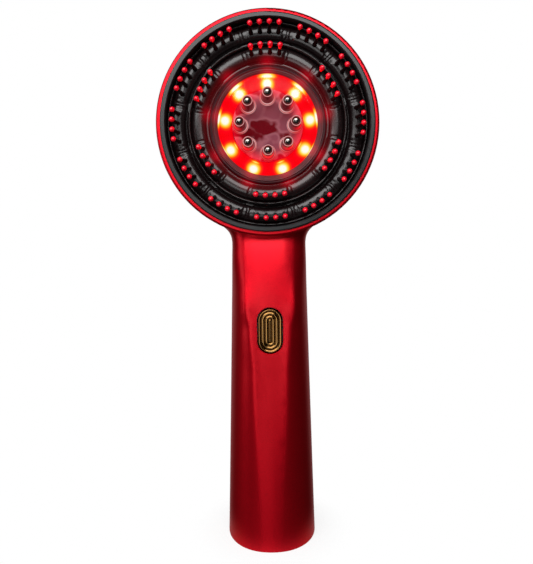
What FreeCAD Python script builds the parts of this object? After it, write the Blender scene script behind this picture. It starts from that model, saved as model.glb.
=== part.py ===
import FreeCAD
import Part
import Sketcher
import math
import os
import re
from FreeCAD import Placement, Rotation, Vector

doc = FreeCAD.newDocument("scalp_massager")

# Driving sizes in millimetres and degrees. Radii in the head run outwards from
# the cup, depths in the head run forwards from the shells' parting plane.
SIZES = {
    "head_height": 167.0,
    "wall": 2.2,
    "cup_radius": 13.5,
    "cup_gap": 0.2,
    "window_width": 5.1,
    "gasket_width": 3.2,
    "pad_gap": 0.2,
    "inner_band": 7.6,
    "outer_band": 8.3,
    "ring_gap": 0.2,
    "ring_width": 1.7,
    "rim_fit": 0.05,
    "rim_width": 1.95,
    "frame_seat": 11.0,
    "frame_plate": 2.6,
    "frame_gap": 0.15,
    "ledge_width": 4.0,
    "ledge_depth": 2.0,
    "ring_height": 9.0,
    "ring_round": 0.6,
    "rim_setback": 1.2,
    "rim_round": 1.0,
    "bezel_reach": 0.3,
    "belt_width": 6.8,
    "motor_clear": 4.6,
    "pad_floor_depth": 3.4,
    "pad_edge_rise": 5.4,
    "pad_step_rise": 6.4,
    "pad_chamfer": 0.4,
    "ridge_top": 0.3,
    "groove_side": 0.2,
    "outer_band_edge": 1.25,
    "outer_bump_rise": 1.9,
    "inner_band_edge": 1.0,
    "inner_bump_rise": 2.0,
    "inner_floor_rise": 1.2,
    "pod_rise": 0.5,
    "outer_pod_span": 26.0,
    "inner_pod_span": 36.0,
    "outer_bristle_pitch": 5.8,
    "inner_bristle_pitch": 7.6,
    "bristle_root_radius": 0.85,
    "bristle_end_radius": 0.55,
    "outer_bristle_height": 7.6,
    "inner_bristle_height": 7.2,
    "outer_splay": 9.0,
    "inner_splay": 8.0,
    "pad_turn": 1.3,
    "bristle_sink": 0.8,
    "tip_radius": 1.05,
    "tip_grip": 0.6,
    "window_rise": 2.2,
    "window_thickness": 2.0,
    "window_overlap": 2.0,
    "gasket_rise": 2.1,
    "gasket_fit": 0.1,
    "gasket_lip": 0.5,
    "edge_break": 0.3,
    "reflector_height": 4.0,
    "reflector_wall": 0.8,
    "reflector_gap": 0.2,
    "led_board_thickness": 1.2,
    "led_length": 3.5,
    "led_margin": 0.6,
    "led_height": 1.9,
    "led_gap": 0.3,
    "pocket_floor": 1.5,
    "pocket_wall": 1.8,
    "tube_wall": 1.5,
    "cup_setback": 0.2,
    "cup_depth": 16.5,
    "cup_plate": 1.8,
    "cup_wall": 2.0,
    "lid_thickness": 1.7,
    "lid_spigot": 2.0,
    "lid_fit": 0.05,
    "spigot_wall": 1.4,
    "plug_radius": 2.5,
    "plug_head": 1.0,
    "plug_lip": 0.8,
    "plug_taper": 0.3,
    "well_gap": 0.3,
    "well_floor": 1.5,
    "seal_thickness": 0.5,
    "seal_fit": 0.05,
    "seal_height": 5.0,
    "nozzle_margin": 3.1,
    "nozzle_height": 9.0,
    "nozzle_base_radius": 2.35,
    "nozzle_tip_radius": 1.95,
    "collar_radius": 2.9,
    "collar_height": 1.2,
    "collar_round": 0.5,
    "nozzle_bore": 0.8,
    "ball_radius": 1.5,
    "ball_gap": 0.05,
    "ball_sink": 0.5,
    "base_half_width": 18.4,
    "neck_half_width": 14.95,
    "neck_drop": 48.0,
    "flare_radius": 8.5,
    "grip_front_depth": 17.2,
    "base_swell": 3.8,
    "neck_front_depth": 14.2,
    "neck_lean": 6.0,
    "neck_fall": 1.7,
    "neck_back_depth": 16.5,
    "neck_passage": 6.0,
    "flare_turn": 60.0,
    "flare_run": 4.0,
    "grip_fall": 1.5,
    "brow_share": 0.5,
    "brow_fade": 22.0,
    "crease_turn": 14.0,
    "neck_lead": 10.0,
    "neck_ease": 8.0,
    "base_flat": 5.0,
    "flat_spare": 1.3,
    "brow_spread": 1.1,
    "arch_spread": 1.4,
    "section_power": 2.15,
    "neck_power": 3.3,
    "button_drop": 15.8,
    "button_width": 9.2,
    "button_length": 17.4,
    "button_gap": 0.5,
    "button_proud": 0.3,
    "button_flange": 1.1,
    "flange_thickness": 1.0,
    "flange_gap": 0.1,
    "button_recess": 0.9,
    "opening_bevel": 0.3,
    "ridge_pitch": 1.43,
    "ridge_width": 0.75,
    "ridge_height": 0.45,
    "stem_radius": 2.2,
    "press_travel": 0.5,
    "press_spare": 0.1,
    "stem_length": 2.0,
    "board_margin": 4.95,
    "board_bottom": 5.0,
    "board_drop": 11.0,
    "board_thickness": 1.6,
    "post_radius": 2.2,
    "post_edge": 3.0,
    "post_inset": 4.0,
    "board_screw_length": 4.5,
    "switch_side": 6.0,
    "switch_depth": 3.3,
    "plunger_radius": 1.7,
    "plunger_gap": 0.1,
    "plunger_sink": 0.8,
    "plunger_well": 1.5,
    "cell_gap": 1.7,
    "cell_spare": 0.8,
    "battery_drop": 28.0,
    "battery_bottom": 15.0,
    "battery_gap": 0.1,
    "rib_thickness": 2.0,
    "rib_start": 8.0,
    "tab_thickness": 0.3,
    "tab_width": 6.0,
    "motor_radius": 5.0,
    "motor_length": 16.0,
    "motor_fit": 0.05,
    "motor_cap_length": 2.0,
    "motor_cap_step": 0.3,
    "saddle_inset": 3.5,
    "saddle_wall": 1.5,
    "motor_offset": -2.0,
    "shaft_radius": 0.75,
    "shaft_reach": 8.0,
    "weight_radius": 4.2,
    "weight_length": 5.0,
    "weight_gap": 1.6,
    "hub_wall": 0.9,
    "clamp_length": 8.0,
    "clamp_plate": 1.5,
    "clamp_ear": 6.4,
    "clamp_gap": 0.6,
    "clamp_wall": 1.2,
    "clamp_ear_height": 2.4,
    "boss_radius": 2.6,
    "frame_boss_radius": 3.0,
    "frame_boss_inset": 4.5,
    "screw_radius": 0.9,
    "screw_fit": 0.1,
    "screw_head_radius": 1.9,
    "screw_head_height": 1.2,
    "screw_length": 7.0,
    "screw_slot_length": 2.4,
    "screw_slot_width": 0.6,
    "hole_spare": 0.5,
    "cap_thickness": 2.6,
    "cap_gap": 0.1,
    "base_boss_length": 9.0,
    "base_boss_radius": 3.2,
    "base_boss_sink": 0.6,
    "boss_floor": 1.0,
    "socket_width": 8.9,
    "socket_depth": 3.2,
    "socket_length": 7.4,
    "socket_wall": 0.3,
    "socket_gap": 0.2,
    "socket_setback": 0.6,
    "socket_back": 1.0,
    "tongue_thickness": 0.7,
    "tongue_width": 6.6,
    "tongue_setback": 0.8,
    "lead_radius": 0.6,
    "lead_bend": 2.5,
    "lead_pitch": 2.0,
    "lead_stub": 2.0,
    "lead_spacing": 5.0,
    "lead_hole_radius": 2.2,
}

# Sizes that follow from the driving ones.
DERIVED = {
    "well_radius": "cup_radius + cup_gap",
    "gasket_inner": "well_radius + window_width",
    "gasket_outer": "gasket_inner + gasket_width",
    "pad_inner": "gasket_outer + pad_gap",
    "step_radius": "pad_inner + inner_band",
    "pad_outer": "step_radius + outer_band",
    "ring_inner": "pad_outer + ring_gap",
    "ring_outer": "ring_inner + ring_width",
    "rim_inner": "ring_outer + rim_fit",
    "head_radius": "rim_inner + rim_width",
    "outer_bump_half": "outer_band / 2 - outer_band_edge",
    "inner_bump_half": "inner_band / 2 - inner_band_edge",
    "inner_pod_circle": "pad_inner + inner_band / 2",
    "outer_pod_circle": "step_radius + outer_band / 2",
    "frame_back": "frame_seat - frame_plate",
    "ring_front": "frame_seat + ring_height",
    "rim_front": "ring_front - rim_setback",
    "belt_back": "rim_front - belt_width",
    "pad_floor": "frame_seat + pad_floor_depth",
    "pad_edge": "frame_seat + pad_edge_rise",
    "pad_step": "frame_seat + pad_step_rise",
    "inner_floor": "pad_floor + inner_floor_rise",
    "window_seat": "frame_seat + window_rise",
    "window_front": "window_seat + window_thickness",
    "window_outer": "gasket_inner + window_overlap",
    "gasket_front": "window_front + gasket_rise",
    "board_seat": "window_seat - reflector_height - led_board_thickness",
    "reflector_seat": "window_seat - reflector_height",
    "reflector_outer": "gasket_outer - pocket_wall - reflector_gap",
    "pocket_radius": "gasket_outer - pocket_wall",
    "pocket_back": "board_seat - pocket_floor",
    "tube_outer": "well_radius + tube_wall",
    "led_outer": "reflector_outer - reflector_wall - led_margin",
    "led_inner": "tube_outer + led_margin",
    "led_circle": "(led_inner + led_outer) / 2",
    "led_width": "led_outer - led_inner",
    "cup_front": "window_front - cup_setback",
    "cup_back": "cup_front - cup_depth",
    "cup_bore": "cup_radius - cup_wall",
    "seal_circle": "well_radius - seal_fit - seal_thickness",
    "seal_groove": "seal_circle - seal_thickness - seal_fit",
    "seal_centre": "cup_back + seal_height",
    "lid_back": "cup_back - lid_thickness",
    "well_front": "lid_back - well_gap",
    "well_back": "well_front - well_floor",
    "nozzle_circle": "cup_radius - nozzle_margin",
    "nozzle_tip": "cup_front + nozzle_height",
    "ball_centre": "nozzle_tip - ball_sink",
    "ball_seat": "ball_radius + ball_gap",
    "motor_bore": "motor_radius + motor_fit",
    "motor_cap_radius": "motor_radius - motor_cap_step",
    "motor_axis": "well_back - clamp_gap - clamp_plate - motor_bore",
    "dome_depth": "belt_back - motor_axis + motor_bore + wall + motor_clear",
    "motor_start": "motor_offset - motor_length / 2",
    "motor_end": "motor_offset + motor_length / 2",
    "clamp_hole": "motor_bore + clamp_ear / 2",
    "frame_boss_circle": "rim_inner - ledge_width - frame_boss_inset",
    "frame_screw_seat": "frame_seat - screw_head_height - screw_fit",
    "base_half_depth": "grip_front_depth + base_swell",
    "front_boss_depth": "base_half_depth - wall - base_boss_radius + base_boss_sink",
    "grip_flat": "button_width / 2 + button_flange + flat_spare",
    "brow_flat": "grip_flat + brow_spread",
    "arch_flat": "brow_flat + arch_spread",
    "neck_height": "head_height - neck_drop",
    "board_top": "neck_height - board_drop",
    "high_post_height": "board_top - post_inset",
    "low_post_height": "(board_bottom + board_top) / 2",
    "button_height": "high_post_height - button_drop",
    "button_face": "grip_front_depth + button_proud",
    "flange_front": "grip_front_depth - wall - flange_gap",
    "stem_end": "flange_front - flange_thickness - stem_length",
    "board_front": "stem_end - press_travel - press_spare - switch_depth",
    "board_width": "2 * (neck_half_width - board_margin)",
    "post_offset": "board_width / 2 - post_edge",
    "cell_front": "board_front - board_thickness - cell_gap",
    "cell_back": "neck_back_depth - wall - cell_spare",
    "battery_radius": "(cell_front + cell_back) / 2",
    "battery_depth": "(cell_back - cell_front) / 2",
    "battery_length": "board_top - battery_drop - battery_bottom",
    "rib_pitch": "(battery_length - 2 * rib_start) / 2",
    "socket_centre": "board_front + socket_depth / 2",
    "cap_screw_seat": "screw_head_height + screw_fit",
    "grip_low": "button_height - button_length",
    "grip_high": "button_height + brow_share * button_length",
}

sheet = doc.addObject("Spreadsheet::Sheet", "Sizes")
for row, (alias, size) in enumerate(SIZES.items(), 1):
    sheet.set("A%d" % row, alias)
    sheet.set("B%d" % row, str(size))
    sheet.setAlias("B%d" % row, alias)
doc.recompute()


def link(text):
    """The expression with every size's name pointed at its own cell or derived value."""
    def point(match):
        word = match.group()
        if word in SIZES:
            return "Sizes." + word
        if word in DERIVED:
            return "Derived." + word
        return word
    return re.sub(r"[a-z]\w*", point, text)


derived = doc.addObject("App::VarSet", "Derived")
derived.addProperty("App::PropertyFloat", "probe")
for alias, text in DERIVED.items():
    derived.addProperty("App::PropertyFloat", alias)
    derived.setExpression(alias, link(text))
doc.recompute()


known = {}


def number(text):
    """The expression's value, worked out once from the sheet."""
    if text not in known:
        derived.setExpression("probe", link(text))
        derived.recompute()
        known[text] = derived.probe
    return known[text]


def bind(item, **sizes):
    """Bind properties to expressions. Two underscores in a name stand for a dot."""
    for name, text in sizes.items():
        item.setExpression(name.replace("__", "."), link(text))


HEAD = Placement(Vector(0, 0, number("head_height")), Rotation(Vector(1, 0, 0), 90))
FRONT = Placement(Vector(0, 0, number("button_height")), Rotation(Vector(1, 0, 0), 90))
nodes = {}
LIGHTS = 9
NOZZLES = 8
PODS = {"outer": 12, "inner": 6}
BRISTLE_STEPS = (-1.5, -0.5, 0.5, 1.5)
BATTERY_RIBS = 3
BUTTON_RIDGES = 3

# Points along the handle's height, along a section's quarter ellipse, across its flat and
# along the dome, through which the smooth surfaces run.
HANDLE_STEPS = 54
QUARTER_STEPS = 10
FLAT_SHARES = (0.0, 0.33, 0.66)
DOME_STEPS = 16
TINY = 1e-3
AXIS_LENGTH = 10.0
TUBE_ERROR = 0.02


def origin_item(body, role):
    """One of a body's own origin planes or axes."""
    return next(item for item in body.Origin.OriginFeatures if item.Role == role)


def arc_between(start, end, radius, side):
    """The shorter arc of the radius from start to end, bulging to the left where side is 1."""
    chord = end - start
    half = chord.Length / 2
    normal = Vector(-chord.y, chord.x, 0).normalize() * side
    centre = (start + end) / 2 - normal * math.sqrt(max(radius * radius - half * half, 0))
    crown = centre + normal * radius
    return Part.Arc(start, crown, end)


def outline(body, role, corners, name, axis=None):
    """A closed sketch. A corner is (across, up); (across, up, radius, side) starts an arc."""
    sketch = body.newObject("Sketcher::SketchObject", name)
    sketch.AttachmentSupport = [(origin_item(body, role), "")]
    sketch.MapMode = "FlatFace"
    points = [Vector(number(corner[0]), number(corner[1]), 0) for corner in corners]
    count = len(points)
    for index, corner in enumerate(corners):
        start = points[index]
        end = points[(index + 1) % count]
        if len(corner) == 2:
            sketch.addGeometry(Part.LineSegment(start, end), False)
        else:
            sketch.addGeometry(arc_between(start, end, number(corner[2]), corner[3]), False)
    # Sketcher stores every arc anticlockwise, so a clockwise one starts at its end.
    starts = []
    ends = []
    for index in range(count):
        turned = sketch.Geometry[index].StartPoint.distanceToPoint(points[index]) > TINY
        starts.append(2 if turned else 1)
        ends.append(1 if turned else 2)
    for index in range(count):
        after = (index + 1) % count
        sketch.addConstraint(Sketcher.Constraint("Coincident", index, ends[index], after, starts[after]))
    for index, corner in enumerate(corners):
        for kind, text, value in (("DistanceX", corner[0], points[index].x),
                                  ("DistanceY", corner[1], points[index].y)):
            place = sketch.addConstraint(
                Sketcher.Constraint(kind, -1, 1, index, starts[index], value))
            sketch.setExpression("Constraints[%d]" % place, link(text))
        if len(corner) > 2:
            place = sketch.addConstraint(Sketcher.Constraint("Radius", index, number(corner[2])))
            sketch.setExpression("Constraints[%d]" % place, link(corner[2]))
    if axis:
        foot = Vector(number(axis), 0, 0)
        line = sketch.addGeometry(Part.LineSegment(foot, foot + Vector(0, AXIS_LENGTH, 0)), True)
        for end, height in ((1, 0), (2, AXIS_LENGTH)):
            place = sketch.addConstraint(Sketcher.Constraint("DistanceX", -1, 1, line, end, foot.x))
            sketch.setExpression("Constraints[%d]" % place, link(axis))
            sketch.addConstraint(Sketcher.Constraint("DistanceY", -1, 1, line, end, height))
    return sketch


def slot(sketch, width, length):
    """Add an upright slot outline, round at both ends, to the sketch."""
    radius = number(width) / 2
    reach = (number(length) - number(width)) / 2
    first = sketch.GeometryCount
    up = Vector(0, reach, 0)
    normal = Vector(0, 0, 1)
    side = Vector(radius, 0, 0)
    sketch.addGeometry(Part.ArcOfCircle(Part.Circle(up, normal, radius), 0, math.pi), False)
    sketch.addGeometry(Part.LineSegment(up - side, -up - side), False)
    sketch.addGeometry(
        Part.ArcOfCircle(Part.Circle(-up, normal, radius), math.pi, 2 * math.pi), False)
    sketch.addGeometry(Part.LineSegment(side - up, side + up), False)
    for index in range(4):
        after = first + (index + 1) % 4
        sketch.addConstraint(Sketcher.Constraint("Tangent", first + index, 2, after, 1))
    sketch.addConstraint(Sketcher.Constraint("PointOnObject", first, 3, -2))
    sketch.addConstraint(Sketcher.Constraint("PointOnObject", first + 2, 3, -2))
    place = sketch.addConstraint(Sketcher.Constraint("Radius", first, radius))
    sketch.setExpression("Constraints[%d]" % place, link("(%s) / 2" % width))
    for index, sign, value in ((first, "", reach), (first + 2, "-", -reach)):
        place = sketch.addConstraint(Sketcher.Constraint("DistanceY", -1, 1, index, 3, value))
        sketch.setExpression("Constraints[%d]" % place, link("%s(%s - (%s)) / 2" % (sign, length, width)))


def slot_pad(body, name, low, high, *slots):
    """Pad one slot, or the ring between two, from one depth to another."""
    sketch = body.newObject("Sketcher::SketchObject", name + "_outline")
    sketch.AttachmentSupport = [(origin_item(body, "XY_Plane"), "")]
    sketch.MapMode = "FlatFace"
    bind(sketch, AttachmentOffset__Base__z=low)
    for width, length in slots:
        slot(sketch, width, length)
    pad = body.newObject("PartDesign::Pad", name)
    pad.Profile = sketch
    bind(pad, Length="%s - (%s)" % (high, low))
    body.Tip = pad
    return pad


def new_body(label, place):
    """An empty body in the place, known by its label."""
    body = doc.addObject("PartDesign::Body", label)
    body.Label = label
    body.Placement = place
    nodes[label] = body
    return body


def turn(body, name, corners, axis=None, kind="Revolution"):
    """Turn a closed profile once round the body's own axis, or round an upright line."""
    sketch = outline(body, "XZ_Plane", corners, name + "_profile", axis)
    feature = body.newObject("PartDesign::" + kind, name)
    feature.Profile = sketch
    feature.ReferenceAxis = (sketch, ["Axis0" if axis else "V_Axis"])
    feature.Angle = 360
    body.Tip = feature
    return feature


def ring_of(body, name, features, count):
    """Repeat features evenly round the body's axis."""
    pattern = body.newObject("PartDesign::PolarPattern", name)
    pattern.Originals = features
    pattern.Axis = (origin_item(body, "Z_Axis"), [""])
    pattern.Angle = 360
    pattern.Occurrences = count
    body.Tip = pattern
    return pattern


def turned_body(label, corners, place=HEAD):
    """A body made by turning one profile."""
    body = new_body(label, place)
    turn(body, label + "_turn", corners)
    return body


def shaped(label, shape, place=Placement()):
    """A piece whose shape is set directly."""
    piece = doc.addObject("Part::Feature", label)
    piece.Label = label
    piece.Shape = shape
    piece.Placement = place
    nodes[label] = piece
    return piece


def around(shape, angles):
    """Copies of the shape turned about the head's axis, the angles counted from the right."""
    copies = []
    for angle in angles:
        copy = shape.copy()
        copy.rotate(Vector(0, 0, 0), Vector(0, 0, 1), angle)
        copies.append(copy)
    return copies


def even(count, start=90.0):
    """Angles of places spread evenly from the top of the face."""
    return [start + index * 360.0 / count for index in range(count)]


FRAME_ANGLES = even(4, 45.0)


def upright(radius, low, high, across=0.0, along=0.0):
    """A solid cylinder along the local upright axis."""
    return Part.makeCylinder(radius, high - low, Vector(across, along, low))


def sideways(radius, start, end, along, up):
    """A solid cylinder along the local x axis."""
    return Part.makeCylinder(radius, end - start, Vector(start, along, up), Vector(1, 0, 0))


def block(left, right, near, far, low, high):
    """A box between six planes."""
    return Part.makeBox(right - left, far - near, high - low, Vector(left, near, low))


def screw(length):
    """A pan-head screw along the local axis, the head's seat at zero and the shank below."""
    head = Part.makeCylinder(number("screw_head_radius"), number("screw_head_height"))
    rise = number("screw_head_height")
    long = number("screw_slot_length") / 2
    wide = number("screw_slot_width") / 2
    for turned in (0, 90):
        cross = block(-long, long, -wide, wide, rise / 2, 2 * rise)
        cross.rotate(Vector(0, 0, 0), Vector(0, 0, 1), turned)
        head = head.cut(cross)
    shank = Part.makeCylinder(number("screw_radius"), length, Vector(0, 0, -length))
    return head.fuse(shank).removeSplitter()


def ease(share):
    """A smooth step from 0 to 1."""
    share = min(max(share, 0.0), 1.0)
    return share * share * (3 - 2 * share)


def handle_size(height):
    """Half width, front depth, back depth, half panel width, share of the panel and power of the front's
    curve in the section of the handle at a height. The neck flares into the head on a fillet that
    touches the handle's side and the head's edge."""
    base = number("base_half_width")
    neck = number("neck_half_width")
    low = number("neck_height")
    deep = number("base_half_depth")
    grip = number("grip_front_depth")
    fillet = number("flare_radius")
    span = number("head_radius + flare_radius")
    across = neck + fillet
    flare = number("head_height") - math.sqrt(span * span - across * across)
    rise = height - flare
    steep = math.radians(number("flare_turn"))
    if rise < 0:
        half = neck + (base - neck) * (1 - height / flare)
    elif rise < fillet * math.sin(steep):
        half = across - math.sqrt(fillet * fillet - rise * rise)
    else:
        run = number("flare_run")
        past = rise - fillet * math.sin(steep)
        half = across - fillet * math.cos(steep) + run * math.tan(steep) * (1 - math.exp(-past / run))
    start = number("grip_low")
    end = number("grip_high")
    front = grip + (deep - grip) * max(1 - height / start, 0.0) ** number("grip_fall")
    lean = min(max((height - end) / (low + number("neck_lean") - end), 0.0), 1.0)
    front += (number("neck_front_depth") - grip) * lean ** number("neck_fall")
    back = deep + (number("neck_back_depth") - deep) * min(height / low, 1.0)
    rise = ease(height / start)
    flat = number("base_flat") + (number("grip_flat") - number("base_flat")) * rise
    middle = number("button_height")
    flat += (number("brow_flat") - number("grip_flat")) * ease((height - start) / (middle - start))
    flat += (number("arch_flat") - number("brow_flat")) * ease((height - middle) / (end - middle))
    fade = ease((height - end) / number("brow_fade"))
    panel = rise * (1 - fade)
    power = number("section_power") + number("neck_power - section_power") * fade
    return half, front, back, flat, panel, power


def half_section(height, half_width, depth, flat, panel, power, side):
    """Points of half a handle section from left to right: a rounded section, drawn by the panel's share
    towards a flat between two parts of ellipses, which leave the flat at a crease."""
    crease = math.radians(number("crease_turn"))
    round_width = (half_width - flat) / (1 - math.sin(crease))
    round_depth = depth / math.cos(crease)
    steps = [(flat * share, depth) for share in FLAT_SHARES]
    for index in range(QUARTER_STEPS):
        turned = crease + index * (math.pi / 2 - crease) / QUARTER_STEPS
        across = flat + round_width * (math.sin(turned) - math.sin(crease))
        steps.append((across, round_depth * math.cos(turned)))
    right = []
    for across, creased in steps:
        rounded = depth * (1 - (across / half_width) ** power) ** (1 / power)
        right.append(Vector(across, side * (rounded + (creased - rounded) * panel), height))
    right.append(Vector(half_width, 0, height))
    left = [Vector(-point.x, point.y, height) for point in reversed(right[1:])]
    return left + right


def handle_half(inset, side):
    """One half of the handle, set in from its outside, as a solid from the base into the head."""
    low = -number("wall") if inset else 0.0
    high = number("head_height - head_radius / 2")
    grid = []
    for index in range(HANDLE_STEPS + 1):
        height = low + (high - low) * index / HANDLE_STEPS
        half, front, back, flat, panel, power = handle_size(max(height, 0.0))
        if inset:
            passage = number("neck_passage")
            clear = ease((height - number("neck_height - neck_lead")) / number("neck_ease"))
            front = (front - inset) * (1 - clear) + passage * clear
            half -= inset
            back -= inset
            flat -= inset / 2
        if side < 0:
            grid.append(half_section(height, half, front, flat, panel, power, side))
        else:
            grid.append(half_section(height, half, back, flat, 0.0, number("section_power"), side))
    surface = Part.BSplineSurface()
    surface.interpolate(grid)
    skin = surface.toShape()
    corners = [grid[0][0], grid[0][-1], grid[-1][-1], grid[-1][0]]
    edges = {}
    for edge in skin.Edges:
        middle = edge.valueAt((edge.FirstParameter + edge.LastParameter) / 2)
        if abs(middle.y) > TINY:
            edges["low" if abs(middle.z - low) < TINY else "high"] = edge
        else:
            edges["left" if middle.x < 0 else "right"] = edge
    bottom = Part.LineSegment(corners[0], corners[1]).toShape()
    top = Part.LineSegment(corners[3], corners[2]).toShape()
    faces = [skin,
             Part.Face(Part.Wire([edges["low"], bottom])),
             Part.Face(Part.Wire([edges["high"], top])),
             Part.Face(Part.Wire(Part.__sortEdges__([edges["left"], top, edges["right"], bottom])))]
    shell = Part.makeShell(faces)
    shell.sewShape()
    solid = Part.makeSolid(shell)
    if solid.Volume < 0:
        solid.reverse()
    return solid


def dome_edge(inset, low, high):
    """Points of the head's outline between two depths: part of an ellipse behind the belt."""
    radius = number("head_radius") - inset
    depth = number("dome_depth") - inset
    belt = number("belt_back")
    first = math.acos(min((belt - low) / depth, 1.0))
    last = math.acos((belt - high) / depth)
    turns = [first + (last - first) * index / DOME_STEPS for index in range(DOME_STEPS + 1)]
    return [(radius * math.sin(turned), belt - depth * math.cos(turned)) for turned in turns]


def turned_solid(curve, corners):
    """A solid of revolution: a smooth curve through points, then straight sides back to its start."""
    spline = Part.BSplineCurve()
    path = [Vector(across, 0, up) for across, up in curve]
    if curve[0][0] < TINY:
        level = Vector(1, 0, 0)
        spline.interpolate(Points=path, InitialTangent=level, FinalTangent=path[-1] - path[-2])
    else:
        spline.interpolate(Points=path)
    stops = [path[-1]] + [Vector(across, 0, up) for across, up in corners] + [path[0]]
    edges = [spline.toShape()]
    edges += [Part.LineSegment(a, b).toShape() for a, b in zip(stops, stops[1:])]
    face = Part.Face(Part.Wire(edges))
    return face.revolve(Vector(0, 0, 0), Vector(0, 0, 1), 360)


def in_head(shape):
    """The shape moved from the head's own axes to the object's."""
    moved = shape.copy()
    moved.Placement = HEAD.multiply(moved.Placement)
    return moved


def stadium(width, length, low, high):
    """An upright slot-shaped prism between two depths."""
    radius = width / 2
    reach = length / 2 - radius
    prism = block(-radius, radius, -reach, reach, low, high)
    prism = prism.fuse([upright(radius, low, high, 0, reach), upright(radius, low, high, 0, -reach)])
    return prism.removeSplitter()


wall = number("wall")
head_height = number("head_height")
rim_front = number("rim_front")
frame_back = number("frame_back")
screw_hole = number("screw_radius + screw_fit")
reach = number("head_radius + base_half_depth")
base_bosses = []
for side in (-1, 1):
    foot = Vector(0, side * number("front_boss_depth"), number("cap_thickness"))
    post = Part.makeCylinder(number("base_boss_radius"), number("base_boss_length"), foot)
    hole = Part.makeCylinder(screw_hole, number("base_boss_length - boss_floor"), foot)
    base_bosses.append(post.cut(hole))

# Front shell: the front of the handle and the head's rim, with the ledge for the frame,
# the posts for the control board and the button's opening.
front_grip = handle_half(0.0, -1)
rim_edge = Vector(number("head_radius"), 0, rim_front)
front_head = turned_solid(dome_edge(0.0, 0.0, number("belt_back")),
                          [(rim_edge.x, rim_front), (0, rim_front), (0, 0)])
lip = [edge for edge in front_head.Edges
       if abs(edge.BoundBox.ZMin - rim_front) < TINY and abs(edge.BoundBox.XMax - rim_edge.x) < TINY]
front_head = front_head.makeFillet(number("rim_round"), lip)
ledge_low = number("frame_back - ledge_depth")
ledge_inner = number("rim_inner - ledge_width")
rim_inner = number("rim_inner")
front_hollow = turned_solid(dome_edge(wall, -wall, ledge_low),
                            [(ledge_inner, ledge_low), (ledge_inner, frame_back), (rim_inner, frame_back),
                             (rim_inner, rim_front + wall), (0, rim_front + wall), (0, -wall)])
front_solid = front_grip.fuse(in_head(front_head))
front_shell = front_solid.cut([handle_half(wall, -1), in_head(front_hollow)])
posts = []
holes = []
for across in (-number("post_offset"), number("post_offset")):
    for height in (number("low_post_height"), number("high_post_height")):
        foot = Vector(across, -number("board_front"), height)
        inward = Vector(0, -1, 0)
        post = Part.makeCylinder(number("post_radius"), reach, foot, inward)
        posts.append(post.common(front_solid))
        deep = number("board_screw_length - board_thickness + hole_spare")
        holes.append(Part.makeCylinder(screw_hole, deep, foot, inward))
front_shell = front_shell.fuse(posts + [base_bosses[0].common(front_solid)]).cut(holes)
opening_width = number("button_width + 2 * button_gap")
opening_length = number("button_length + 2 * button_gap")
opening = stadium(opening_width, opening_length, number("board_front"), reach)
bevel_width = 2 * number("opening_bevel")
bevel_low = number("grip_front_depth - button_recess / 2")
bevel = stadium(opening_width + bevel_width, opening_length + bevel_width, bevel_low, reach)
for cutter in (opening, bevel):
    cutter.Placement = FRONT
    front_shell = front_shell.cut(cutter)
shaped("front_shell", front_shell.removeSplitter())

# Rear shell: the back of the handle and the domed back of the head, with the bosses for the
# frame and the motor clamp, the motor's saddles and the battery's ribs.
rear_grip = handle_half(0.0, 1)
dome_back = number("belt_back - dome_depth")
rear_head = turned_solid(dome_edge(0.0, dome_back, 0.0), [(0, 0)])
rear_hollow = turned_solid(dome_edge(wall, dome_back + wall, wall), [(0, wall)])
rear_solid = rear_grip.fuse(in_head(rear_head))
rear_shell = rear_solid.cut([handle_half(wall, 1), in_head(rear_hollow)])
motor_axis = number("motor_axis")
motor_bore = sideways(number("motor_bore"), -reach, reach, 0, motor_axis)
boss_radius = number("frame_boss_radius")
boss_circle = number("frame_boss_circle")
boss = upright(boss_radius, dome_back, 0, boss_circle).common(rear_head)
boss = boss.fuse(upright(boss_radius, -wall, frame_back, boss_circle))
hole_end = number("frame_screw_seat - screw_length - hole_spare")
boss = boss.cut(upright(screw_hole, hole_end, frame_back + wall, boss_circle))
inside = around(boss, FRAME_ANGLES)
half_rib = number("rib_thickness") / 2
for across in (number("motor_start + saddle_inset"), number("motor_end - saddle_inset")):
    half_saddle = number("motor_bore + saddle_wall")
    saddle = block(across - half_rib, across + half_rib, -half_saddle, half_saddle, dome_back, motor_axis)
    inside.append(saddle.common(rear_head).cut(motor_bore))
middle = number("motor_offset")
hole_end = number("motor_axis + clamp_ear_height - screw_length - hole_spare")
for along in (-number("clamp_hole"), number("clamp_hole")):
    boss = upright(number("boss_radius"), dome_back, motor_axis, middle, along).common(rear_head)
    inside.append(boss.cut(upright(screw_hole, hole_end, motor_axis + wall, middle, along)))
battery_space = upright(number("battery_radius + battery_gap"), 0, head_height, 0, number("battery_depth"))
ribs = [base_bosses[1].common(rear_solid)]
for index in range(BATTERY_RIBS):
    height = number("battery_bottom + rib_start") + index * number("rib_pitch")
    rib = block(-reach, reach, number("battery_depth"), reach, height - half_rib, height + half_rib)
    ribs.append(rib.common(rear_grip).cut(battery_space))
rear_shell = rear_shell.fuse([in_head(piece) for piece in inside] + ribs)
shaped("rear_shell", rear_shell.removeSplitter())

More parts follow.
